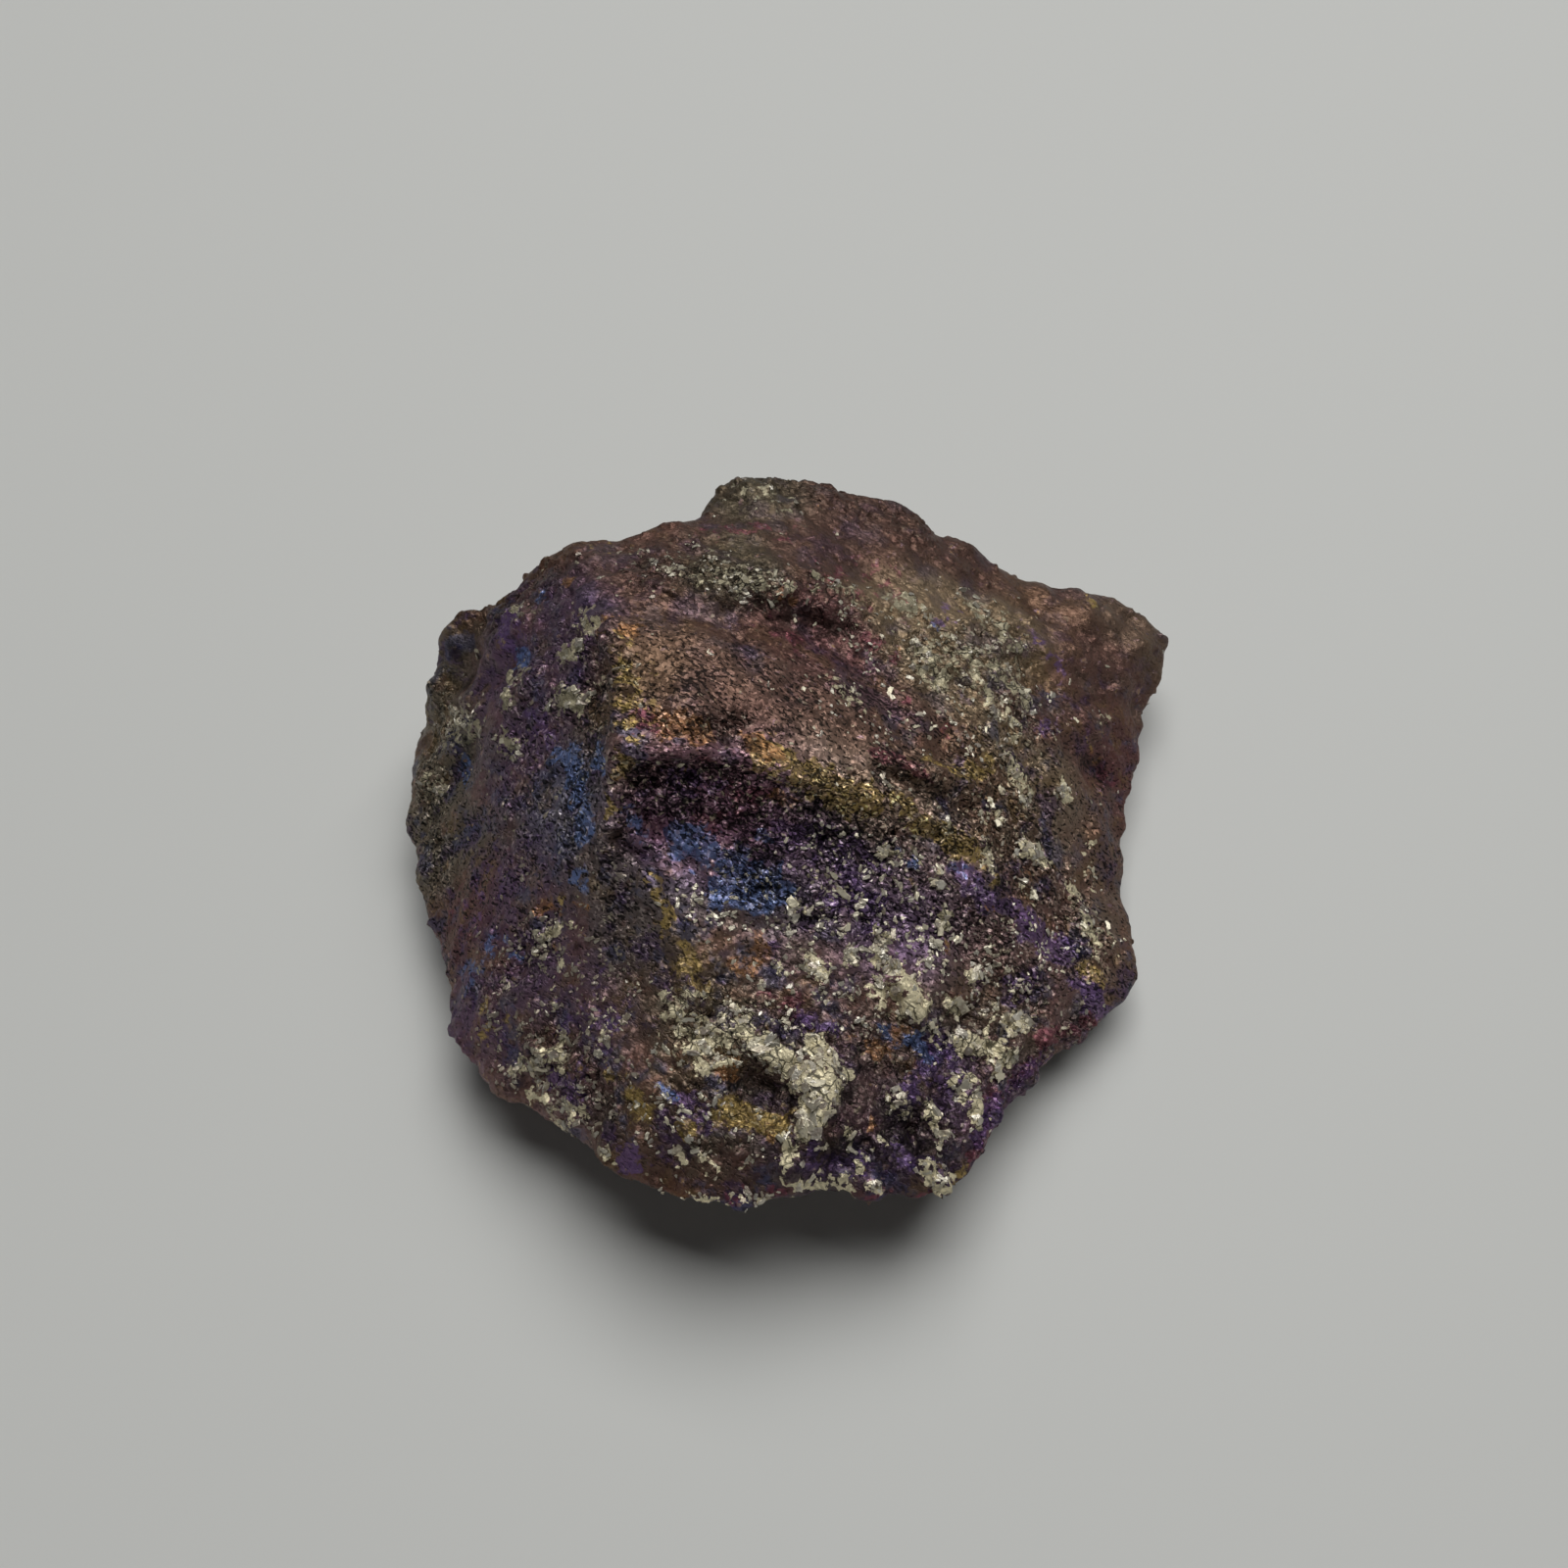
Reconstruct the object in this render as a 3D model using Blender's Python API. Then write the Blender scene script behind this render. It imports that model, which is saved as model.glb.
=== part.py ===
"""A hand specimen of tarnished chalcopyrite: one broken lump of massive copper ore, lying on its underside.

The lump is a wedge. Its crest runs from the back to the scooped peak near the middle. To the left of the
crest it falls steeply, to the right it is a long gentle slope, and the front is a broad apron that overhangs
the surface below. Points are (x, y, z) in millimetres, +Y to the back and +Z up, and the build fits the whole
to WIDTH.
"""

import bmesh
import bpy
from mathutils import Vector, noise
from mathutils.geometry import delaunay_2d_cdt

# Driving sizes, in metres.
WIDTH = 0.0575
GRAIN_OF_FORM = 0.0005
MM = 0.001

NODE = "chalcopyrite"
MOST_FACES = 11000

# The widest line round the lump, clockwise from its left end. Behind the crest it is low, at the foot of the
# back wall.
LEFT_EDGE = [
    (-27.0, -1.0, 4.5), (-28.0, 2.0, 4.5), (-28.5, 5.0, 5.0), (-28.5, 8.0, 5.5),
]
BACK_EDGE = [
    (-28.5, 10.5, 4.0), (-27.5, 14.0, 3.5), (-25.5, 16.5, 3.5), (-22.5, 18.5, 4.0), (-18.0, 20.0, 4.5),
    (-13.5, 20.5, 5.5), (-10.5, 23.0, 5.5), (-8.0, 26.5, 5.0), (-4.5, 28.5, 4.0), (0.5, 29.0, 4.5),
    (5.5, 28.0, 4.0), (10.0, 27.5, 3.5), (15.0, 26.0, 3.5), (20.0, 25.0, 3.5), (25.0, 23.5, 3.5),
    (28.5, 21.2, 4.0),
]
RIGHT_EDGE = [
    (29.4, 18.8, 5.8), (28.3, 16.0, 5.0), (26.5, 12.0, 4.5), (25.5, 8.5, 4.0), (24.5, 3.0, 3.5),
    (24.0, -2.5, 3.0), (24.0, -6.5, 3.5), (23.5, -8.5, 3.5), (21.5, -11.0, 3.5), (19.0, -13.5, 4.0),
    (17.0, -15.0, 4.5), (15.4, -16.8, 5.0), (14.2, -18.6, 5.5), (12.0, -21.7, 6.5), (10.2, -24.7, 7.0),
    (9.2, -26.0, 7.4),
]
FRONT_EDGE = [
    (5.0, -26.0, 8.5), (2.0, -25.5, 9.0), (-0.5, -26.0, 9.0), (-2.5, -26.5, 9.5), (-5.5, -26.0, 9.5),
    (-9.0, -25.0, 8.5), (-12.0, -23.0, 7.5), (-14.0, -21.0, 7.0), (-16.0, -19.5, 6.5), (-19.5, -18.0, 6.0),
    (-22.0, -15.5, 5.5), (-23.5, -13.5, 5.0), (-24.0, -11.0, 5.0), (-24.5, -8.0, 5.0), (-26.0, -4.5, 4.5),
]

# The lines that the top breaks along.
WEST_RIDGE = [
    (-15.0, 15.0, 20.5), (-14.5, 11.0, 21.5), (-12.5, 7.0, 22.5), (-11.3, 4.8, 22.8), (-10.8, 2.0, 22.8),
    (-10.8, -1.0, 22.3), (-10.8, -3.3, 21.7),
]
LIP = [
    (-10.8, -3.3, 21.7), (-9.8, -2.4, 22.0), (-8.1, -2.0, 22.3), (-6.0, -2.2, 22.2), (-4.0, -2.6, 22.0),
    (-2.7, -2.1, 21.8), (-1.5, -2.3, 21.3), (0.7, -2.9, 19.8), (4.5, -3.3, 17.5), (9.0, -3.0, 14.5),
    (12.2, -4.1, 12.0), (16.0, -6.3, 9.0), (19.5, -8.8, 6.2),
]
SCOOP_FOOT = [
    (-11.4, -4.3, 19.6), (-10.6, -5.0, 18.3), (-9.0, -5.2, 17.7), (-5.8, -4.8, 18.3), (-2.0, -4.6, 18.3),
    (2.2, -4.7, 16.9), (5.5, -5.2, 15.4),
]
BLUE_FACE_FOOT = [
    (-9.2, -7.0, 17.3), (-7.0, -6.6, 16.8), (-5.1, -8.0, 15.7), (-4.2, -9.2, 15.0), (-0.2, -9.5, 14.4),
    (3.4, -8.4, 14.4), (7.0, -7.0, 13.6),
]
SOUTH_RIDGE = [
    (-10.6, -6.9, 17.8), (-9.2, -7.9, 17.5), (-8.0, -9.8, 16.4), (-6.8, -12.2, 15.3), (-6.6, -14.0, 14.5),
    (-8.0, -16.5, 13.4), (-9.5, -19.5, 12.0), (-10.4, -22.3, 10.3),
]
BACK_CREST = [
    (-26.6, 9.8, 8.0), (-26.9, 11.7, 9.0), (-26.6, 13.6, 11.2), (-25.8, 14.6, 13.2), (-24.0, 15.8, 14.8),
    (-22.2, 15.0, 15.2), (-19.7, 15.3, 17.0), (-18.3, 16.3, 18.0), (-16.0, 17.0, 19.8), (-13.0, 17.0, 20.0),
    (-10.5, 18.6, 19.5), (-7.0, 20.6, 18.6), (-6.2, 22.5, 18.1), (-5.0, 24.7, 17.5), (-3.2, 26.0, 17.3),
    (0.5, 26.3, 17.0), (3.0, 25.6, 16.5), (7.8, 25.3, 14.6), (10.3, 24.0, 13.5), (14.0, 23.9, 11.7),
    (17.0, 21.9, 10.1), (23.0, 21.8, 8.6), (26.0, 21.2, 7.8), (28.8, 19.2, 7.2),
]
SIDE_STRIP = [
    (21.2, -9.8, 5.0), (18.0, -12.5, 5.8), (15.6, -14.8, 6.5), (13.2, -17.0, 7.2), (10.8, -20.1, 8.0),
    (9.2, -22.8, 8.4), (8.0, -24.4, 8.6),
]
EAST_BEVEL = [
    (22.3, 13.7, 8.6), (21.8, 9.3, 8.4), (20.0, 4.6, 8.1), (18.8, -0.4, 7.6), (20.3, -4.8, 6.2),
    (21.5, -7.8, 5.2), (21.2, -9.8, 5.0),
]
BACK_GROOVE = [
    (-8.6, 9.9, 21.2), (-5.6, 9.4, 20.6), (-2.9, 10.2, 19.6), (0.0, 10.5, 18.4), (2.4, 9.8, 17.4),
    (4.4, 8.6, 16.6),
]
SHELF_EDGE = [
    (-8.8, 11.2, 22.0), (-5.4, 11.0, 21.5), (-2.6, 12.0, 20.7), (0.6, 12.3, 19.5), (3.2, 11.6, 18.2),
    (5.4, 10.2, 17.2),
]
TOP_LINES = [
    WEST_RIDGE, LIP, SCOOP_FOOT, BLUE_FACE_FOOT, SOUTH_RIDGE, BACK_CREST, SIDE_STRIP, EAST_BEVEL,
    BACK_GROOVE, SHELF_EDGE,
]

# Single points that give each slope its swell or hollow.
LEFT_SLOPE = [
    (-13.0, 3.7, 20.6), (-13.3, 0.4, 19.4), (-13.3, -2.8, 18.6), (-14.1, -4.9, 17.4), (-16.3, 6.0, 19.0),
    (-16.2, 2.0, 17.0), (-17.0, -4.1, 14.8), (-19.4, 10.4, 18.2), (-20.1, 6.3, 15.5), (-20.5, 2.4, 13.0),
    (-21.4, -2.2, 10.3), (-23.8, 11.4, 13.0), (-24.5, 8.0, 10.5), (-24.7, 4.1, 9.0), (-25.0, 0.5, 7.2),
    (-13.1, -8.7, 15.6), (-13.2, -12.7, 13.0), (-17.2, -8.5, 12.6), (-17.2, -13.5, 10.2), (-21.8, -7.2, 8.6),
    (-21.2, -12.4, 7.6), (-13.7, -17.7, 10.8), (-16.8, -17.0, 8.4),
]
PLATEAU = [
    (-7.6, 2.5, 23.2), (-3.4, 2.5, 22.1), (1.0, 1.2, 20.2), (4.4, -0.3, 18.6), (8.7, -0.3, 16.2),
    (-9.7, 7.3, 22.8), (-5.9, 6.4, 22.4), (-1.5, 6.9, 20.4), (2.3, 6.3, 18.8),
]
BACK_SHELF = [
    (-12.6, 12.7, 21.6), (-9.7, 12.9, 21.6), (-6.2, 13.0, 21.0), (-2.2, 14.5, 20.0), (1.8, 15.4, 18.4),
    (-3.7, 19.9, 18.8), (1.2, 21.0, 17.6), (5.4, 19.5, 16.2),
]
RIGHT_SLOPE = [
    (7.4, 15.5, 15.8), (11.2, 18.8, 13.8), (7.8, 9.2, 16.2), (13.8, 14.6, 13.4), (14.1, 8.0, 13.2),
    (18.6, 15.2, 11.0), (24.7, 16.3, 8.2), (15.3, 3.0, 11.0), (16.6, -1.2, 9.2), (12.2, 1.3, 13.6),
    (17.0, 11.5, 11.2), (17.8, -4.0, 8.0),
]
FRONT_APRON = [
    (-3.3, -11.6, 14.0), (0.9, -11.7, 13.4), (5.3, -10.0, 12.8), (9.3, -7.5, 12.0), (-3.3, -15.4, 12.8),
    (0.9, -15.8, 12.2), (5.3, -14.6, 11.2), (9.8, -12.1, 10.0), (14.6, -11.2, 7.8), (-5.0, -19.7, 12.4),
    (-0.9, -20.8, 12.0), (2.7, -19.9, 11.4), (6.4, -18.8, 10.4), (10.3, -16.3, 8.8), (-5.6, -23.6, 11.2),
    (-0.9, -24.1, 11.2), (3.8, -23.9, 10.6), (6.8, -22.4, 9.6),
]
TOP_POINTS = LEFT_SLOPE + PLATEAU + BACK_SHELF + RIGHT_SLOPE + FRONT_APRON

# Below the widest line the lump draws in to the foot that it lies on. The foot is modelled low, and cut off
# flat.
FOOT_DEPTH = -1.4
FOOT = [
    (-24.0, 2.0), (-23.5, 8.5), (-20.5, 14.0), (-13.0, 16.5), (-7.0, 21.0), (0.5, 24.5), (9.0, 23.0),
    (17.0, 21.0), (24.0, 18.0), (23.0, 9.5), (20.5, 1.5), (19.0, -5.5), (10.0, -10.0), (1.0, -12.0),
    (-8.0, -12.5), (-15.0, -10.5), (-20.5, -6.0),
]
UNDERSIDE = [
    (-12.0, -18.8, 3.8), (-5.0, -21.5, 5.0), (2.0, -21.0, 4.9), (7.5, -19.5, 4.0), (-3.5, -16.5, 1.6),
    (3.5, -16.0, 1.5), (11.5, -15.0, 2.0), (-15.5, -15.0, 1.8), (-20.5, -12.0, 2.0), (17.5, -10.5, 1.2),
    (22.0, -5.0, 1.2), (22.5, 2.5, 1.0), (-24.5, -3.5, 1.4), (-26.3, 6.5, 1.6), (26.8, 18.0, 2.0),
]

# Hollows and knobs on the top: (x, y), how far each reaches, and how deep or high it is.
HOLLOWS = [
    ((-2.3, -19.7), 2.6, 1.3), ((2.9, -23.1), 2.0, 0.9), ((6.6, -21.1), 1.8, 0.8), ((-4.2, -0.5), 2.4, 0.7),
    ((-9.1, -5.3), 1.3, 0.8), ((-10.9, -4.9), 1.2, 0.8), ((21.1, 6.8), 2.6, 0.9), ((-23.4, 11.2), 2.2, 1.1),
    ((-20.2, 8.6), 2.6, 1.0), ((-23.6, 5.0), 2.4, 1.0), ((9.5, 3.0), 2.2, 0.5), ((17.5, 11.5), 2.6, 0.6),
    ((-17.5, -10.5), 2.0, 0.5), ((11.0, -9.5), 2.2, 0.5), ((4.2, 17.4), 2.4, 0.6), ((-0.5, 24.0), 2.0, 0.5),
]
KNOBS = [
    ((1.2, -19.4), 2.6, 0.7), ((-6.8, 0.6), 2.4, 0.5), ((-25.8, 11.4), 1.6, 0.6), ((-26.8, 5.6), 1.8, 0.7),
    ((-18.2, 6.8), 1.8, 0.5), ((7.8, -13.0), 2.4, 0.5), ((12.5, 11.0), 3.0, 0.6), ((-25.6, 1.0), 1.8, 0.5),
    ((23.0, 18.8), 2.4, 0.6), ((-2.5, 23.4), 2.8, 0.7), ((9.0, 22.0), 2.4, 0.5), ((-13.6, 14.8), 2.4, 0.5),
]

# The uneven break of the whole surface: broad swells, flat shards that each lean their own way, and rounded
# lumps at the rim. Each has its size, and how far it moves the face. The break is fine near the peak and
# coarser to the rim.
SWELL_SIZE, SWELL_DEPTH = 6.0, 0.4
SHARD_SIZE, SHARD_LEAN = 3.6, 0.5
LUMP_SIZE, LUMP_DEPTH = 2.7, 0.9
WAVER_SIZE, WAVER = 2.5, 0.9
PEAK = Vector((-4.0, 2.0))
CALM, ROUGH, ROUGH_REACH = 0.5, 1.05, 27.0
SEED = Vector((3.7, 11.2, 5.9))


def sheet(outline, lines, points):
    """The triangles of a sheet that keeps every line as an edge, as (points, triples of their numbers)."""
    spots, edges = list(outline), []
    for line in lines:
        numbers = []
        for point in line:
            if point not in spots:
                spots.append(point)
            numbers.append(spots.index(point))
        edges += list(zip(numbers, numbers[1:]))
    spots += points
    flat = [Vector(p[:2]) for p in spots]
    ring = list(range(len(outline)))
    found, _, triangles, sources, _, _ = delaunay_2d_cdt(flat, edges, [ring], 1, 1e-5)
    heights = [Vector((p.x, p.y, spots[source[0]][2])) for p, source in zip(found, sources)]
    return heights, triangles


def cage():
    """The lump's plain form: the top and the underside, sewn together along the widest line."""
    outline = LEFT_EDGE + BACK_EDGE + RIGHT_EDGE + FRONT_EDGE
    foot = [(x, y, FOOT_DEPTH) for x, y in FOOT]
    form = bmesh.new()
    for lines, points in ((TOP_LINES, TOP_POINTS), ([foot + foot[:1]], UNDERSIDE)):
        spots, triangles = sheet(outline, lines, points)
        corners = [form.verts.new(spot * MM) for spot in spots]
        for triangle in triangles:
            form.faces.new([corners[i] for i in triangle])
    bmesh.ops.remove_doubles(form, verts=form.verts, dist=0.01 * MM)
    bmesh.ops.recalc_face_normals(form, faces=form.faces)
    return form


def as_object(form, name):
    """Puts a form into the scene as an object, and frees the form."""
    mesh = bpy.data.meshes.new(name)
    form.to_mesh(mesh)
    form.free()
    made = bpy.data.objects.new(name, mesh)
    bpy.context.collection.objects.link(made)
    return made


def as_form(holder):
    """An object's mesh after its modifiers, as a form. The object goes."""
    form = bmesh.new()
    form.from_object(holder, bpy.context.evaluated_depsgraph_get())
    bpy.data.objects.remove(holder)
    return form


def evened(form):
    """The form again in small even faces."""
    holder = as_object(form, "evened")
    remesh = holder.modifiers.new("even", "REMESH")
    remesh.mode = "VOXEL"
    remesh.voxel_size = GRAIN_OF_FORM
    remesh.adaptivity = 0.0
    return as_form(holder)


def faceted(form):
    """The form again in few faces, small where it bends most."""
    ratio = MOST_FACES / len(form.faces)
    holder = as_object(form, "faceted")
    decimate = holder.modifiers.new("facet", "DECIMATE")
    decimate.ratio = ratio
    return as_form(holder)


def bump(distance, reach):
    """1 at the middle of a hollow or knob, falling smoothly to 0 at its reach."""
    share = max(0.0, 1.0 - (distance / reach) ** 2)
    return share * share


def drift(place):
    """A smoothly wandering direction, up to about 1 each way."""
    return Vector([noise.noise(place + shift) for shift in (SEED, SEED.yzx, SEED.zxy)])


def marks(point):
    """How far the hollows and knobs move the top at a point, their outlines made to waver."""
    place = point.xy + WAVER * drift(point / WAVER_SIZE).xy
    depth = sum(depth * bump((place - Vector(spot)).length, reach) for spot, reach, depth in HOLLOWS)
    height = sum(height * bump((place - Vector(spot)).length, reach) for spot, reach, height in KNOBS)
    return height - depth


def relief(point, facing):
    """How far the surface stands out from the plain form at a point given in millimetres."""
    spread = min(1.0, (point.xy - PEAK).length / ROUGH_REACH)
    rough = CALM + (ROUGH - CALM) * spread
    out = SWELL_DEPTH * noise.fractal((point + SEED) / SWELL_SIZE, 0.9, 2.1, 3)
    place = (point + SEED) / SHARD_SIZE
    _, middles = noise.voronoi(place)
    out += SHARD_LEAN * drift(middles[0] * SHARD_SIZE).dot(place - middles[0])
    gaps, _ = noise.voronoi((point - SEED) / LUMP_SIZE)
    out += LUMP_DEPTH * spread ** 3 * (0.4 - gaps[0])
    return rough * out + (marks(point) if facing > 0 else 0.0)


def break_surface(form):
    """Moves each point of the plain form along its normal by the relief there."""
    form.normal_update()
    moves = [(v, v.normal * relief(v.co / MM, v.normal.z) * MM) for v in form.verts]
    for vertex, move in moves:
        vertex.co += move


def cut_foot(form):
    """Cuts off what reaches below the surface that the lump lies on, and closes the cut as one flat face."""
    parts = form.verts[:] + form.edges[:] + form.faces[:]
    bmesh.ops.bisect_plane(form, geom=parts, plane_co=(0, 0, 0), plane_no=(0, 0, -1), clear_outer=True)
    bmesh.ops.holes_fill(form, edges=[e for e in form.edges if e.is_boundary], sides=0)
    bmesh.ops.triangulate(form, faces=[f for f in form.faces if len(f.verts) > 3])


def fit(form):
    """Scales the lump to its width, and puts the middle of its box over the origin."""
    xs, ys = [v.co.x for v in form.verts], [v.co.y for v in form.verts]
    middle = Vector(((min(xs) + max(xs)) / 2, (min(ys) + max(ys)) / 2, 0))
    scale = WIDTH / (max(xs) - min(xs))
    bmesh.ops.translate(form, verts=form.verts, vec=-middle)
    bmesh.ops.scale(form, verts=form.verts, vec=(scale,) * 3)


def ore_material():
    """Massive chalcopyrite under a brown and purple tarnish."""
    material = bpy.data.materials.new("tarnished_ore")
    material.use_nodes = True
    finish = material.node_tree.nodes["Principled BSDF"]
    finish.inputs["Base Color"].default_value = (0.105, 0.068, 0.072, 1)
    finish.inputs["Metallic"].default_value = 0.7
    finish.inputs["Roughness"].default_value = 0.5
    return material


def build_specimen():
    form = evened(cage())
    bmesh.ops.smooth_vert(
        form, verts=form.verts, factor=0.5, use_axis_x=True, use_axis_y=True, use_axis_z=True,
    )
    break_surface(form)
    bmesh.ops.triangulate(form, faces=form.faces)
    form = faceted(form)
    cut_foot(form)
    fit(form)
    specimen = as_object(form, NODE)
    specimen.data.materials.append(ore_material())


for old in list(bpy.data.objects):
    bpy.data.objects.remove(old)
build_specimen()
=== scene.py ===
"""A broken hand specimen of chalcopyrite under a bright tarnish, lying on a pale table."""

import math

import bmesh
import bpy
import numpy as np
from mathutils import Euler, Matrix, Vector, noise
from mathutils.bvhtree import BVHTree


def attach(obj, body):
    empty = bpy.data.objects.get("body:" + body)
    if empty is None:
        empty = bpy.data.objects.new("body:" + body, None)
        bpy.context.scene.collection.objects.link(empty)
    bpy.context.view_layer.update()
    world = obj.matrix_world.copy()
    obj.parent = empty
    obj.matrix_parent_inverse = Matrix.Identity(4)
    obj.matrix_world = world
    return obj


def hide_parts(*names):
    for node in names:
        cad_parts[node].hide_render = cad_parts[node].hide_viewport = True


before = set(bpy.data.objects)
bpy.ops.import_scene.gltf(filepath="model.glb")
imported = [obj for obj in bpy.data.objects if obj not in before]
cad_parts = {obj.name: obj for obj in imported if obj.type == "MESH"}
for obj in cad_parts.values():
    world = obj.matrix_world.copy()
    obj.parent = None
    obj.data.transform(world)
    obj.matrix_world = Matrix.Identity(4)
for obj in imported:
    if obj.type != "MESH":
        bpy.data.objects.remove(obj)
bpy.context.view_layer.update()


# The lump of ore. It is one piece of massive chalcopyrite, broken from a larger mass, so its whole surface is
# a granular fracture with small pits and furrows. Its plain form is carried over in small even faces, and the
# fracture is then worked into it at real depth.

MM = 0.001
FACE_SIZE = 0.2 * MM
MELTING_PASSES = 9
BROAD_PASSES = 12
MOST_TRIANGLES = 192000

# Where the tarnish takes each colour, in plan. A stroke has its points in millimetres, its reach and its
# strength.
GOLD = [
    ([(-11.5, 4.5), (-11.3, 3)], 0.7, 0.7),
    ([(-11.2, 3), (-11, 1.5), (-10.8, -1), (-10.8, -3.8)], 0.9, 0.8),
    ([(-11.2, 5.5), (-10.4, 3), (-10, 0), (-9.8, -1.6)], 1.7, 0.30),
    ([(-12.6, 6.2), (-11.6, 5.4)], 0.9, 0.5), ([(-10.1, -2.7)], 0.7, 1.1),
    ([(-2, -3), (0, -3.4), (2, -4), (4, -4.3)], 1.3, 1.3),
    ([(4.8, -3.6), (7, -3.9), (9.5, -4.5), (11.5, -5)], 0.9, 1.0),
    ([(8.7, 0.1), (11, 0.4), (13, 1.5)], 1.1, 0.5), ([(-11.7, -5.1), (-11.5, -6.3)], 0.5, 0.8),
    ([(-9.3, -9.4), (-8.6, -10.5), (-7.9, -12)], 0.6, 1.1), ([(-7.5, -12.6), (-6.8, -13.6)], 0.5, 0.9),
    ([(-7, -14.2), (-6.4, -15.4)], 1.4, 0.5), ([(-15.1, -9.2)], 0.5, 0.9),
    ([(-4.2, -22.4), (-1.2, -22.9)], 1.3, 0.9), ([(-9.6, -22.2)], 0.8, 0.8), ([(-6.8, -23.3)], 0.8, 0.9),
    ([(-10, -21.4), (-9.4, -22.6)], 0.9, 0.6), ([(-11.5, -20)], 0.8, 0.5),
    ([(-23, -15.4), (-22, -16.6)], 1.1, 0.6), ([(-18.5, -15.2)], 0.8, 0.4),
    ([(10, -24.6), (10.2, -26.4)], 0.7, 0.6), ([(13, -6.5)], 0.8, 0.6), ([(22, 7.5)], 0.9, 0.5),
    ([(22.5, 18.5)], 1.0, 0.5), ([(19, -10), (20, -10.6)], 1.2, 0.5),
    ([(-15.5, 14.5), (-12, 14.5)], 1.2, 0.3), ([(0.8, -6.8)], 0.6, 0.5), ([(9.4, -10.9)], 0.6, 0.5),
    ([(3, -21.8)], 0.5, 0.4),
]
ORANGE = [
    ([(-15.5, 11.5)], 0.9, 0.8), ([(-8, -1.8), (-6.2, -2.2)], 1.2, 1.0), ([(-3, -2), (-1.6, -3)], 1.0, 0.8),
    ([(-12.5, 6.2), (-10.6, 5.6)], 1.0, 0.7), ([(-1.8, -5), (-0.6, -5)], 0.6, 0.7),
    ([(-14.4, -7.5)], 0.5, 0.8), ([(-16.5, -9.7), (-15.6, -9.4)], 0.7, 0.6), ([(-13.6, -10.2)], 0.5, 0.7),
    ([(-4.6, -20), (-4, -19.6)], 0.8, 0.8), ([(4.3, -17.8), (5.3, -18)], 0.8, 0.9),
    ([(6.2, -16.6)], 0.6, 1.0), ([(9.3, -11)], 0.5, 1.0), ([(15.4, -4.9)], 0.7, 0.6),
    ([(12.6, -8)], 0.6, 0.8), ([(21.8, 6.6)], 0.8, 0.5), ([(-3.6, -13.4), (-2.6, -12.6)], 1.4, 0.42),
    ([(-0.5, 11.5), (-1, 10.5)], 0.9, 0.5), ([(4.6, -22.5)], 0.6, 0.6), ([(3, -17.3)], 0.6, 0.5),
    ([(7, -18.6)], 0.7, 0.5), ([(-2, -23.7)], 0.8, 0.5), ([(9.8, 3.4)], 0.5, 0.6),
]
BLUE = [
    ([(-14.4, -1.5), (-14, -4.5), (-13.5, -6)], 1.2, 0.8), ([(-12.8, -1.5), (-12.2, -3.6)], 0.6, 0.9),
    ([(-15.8, -0.5), (-14.8, -0.8)], 1.0, 0.7), ([(-14, -8.6), (-13.6, -9.2)], 0.9, 0.6),
    ([(-18.9, 7.8), (-18.3, 7.2)], 0.9, 0.8), ([(-7.4, -6.7), (-5.8, -7.3)], 1.2, 1.1),
    ([(-2.4, -6.5), (-2, -7)], 0.5, 1.0), ([(-3.8, -8.5), (-1.8, -8.8)], 1.2, 1.1),
    ([(-5, -9.4), (-3.4, -9.6), (-1.2, -9.4)], 1.2, 1.0), ([(-3.8, -10.1)], 0.6, 1.1),
    ([(-11, -5.5), (-10, -6.5)], 0.9, 0.7), ([(7, -17), (7.8, -17.4)], 0.8, 1.1),
    ([(5.2, -16.5), (5.6, -17.4)], 0.7, 0.6), ([(6.4, -6), (7.4, -6.4)], 0.7, 0.7),
    ([(10.4, -6), (11, -7)], 0.9, 0.3), ([(-17.6, 11)], 0.9, 0.5), ([(-23.2, 4), (-22.8, 2.4)], 1.2, 0.5),
    ([(-22, -11.5), (-20, -10)], 1.4, 0.4), ([(-18.2, -11.4)], 0.7, 0.7),
    ([(-8.4, -20.8), (-8, -21.6)], 0.7, 0.6), ([(-9, -22.8)], 0.5, 0.7), ([(7, -25)], 0.5, 0.8),
    ([(9.6, 11.5)], 0.8, 0.3), ([(-7.3, -8.4), (-6.6, -8.8)], 0.5, 0.5),
    ([(-5.6, -7.4), (-3.8, -7.9)], 1.0, 0.8), ([(-6.2, -8.8), (-4.6, -9.4)], 0.9, 0.5),
]
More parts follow.
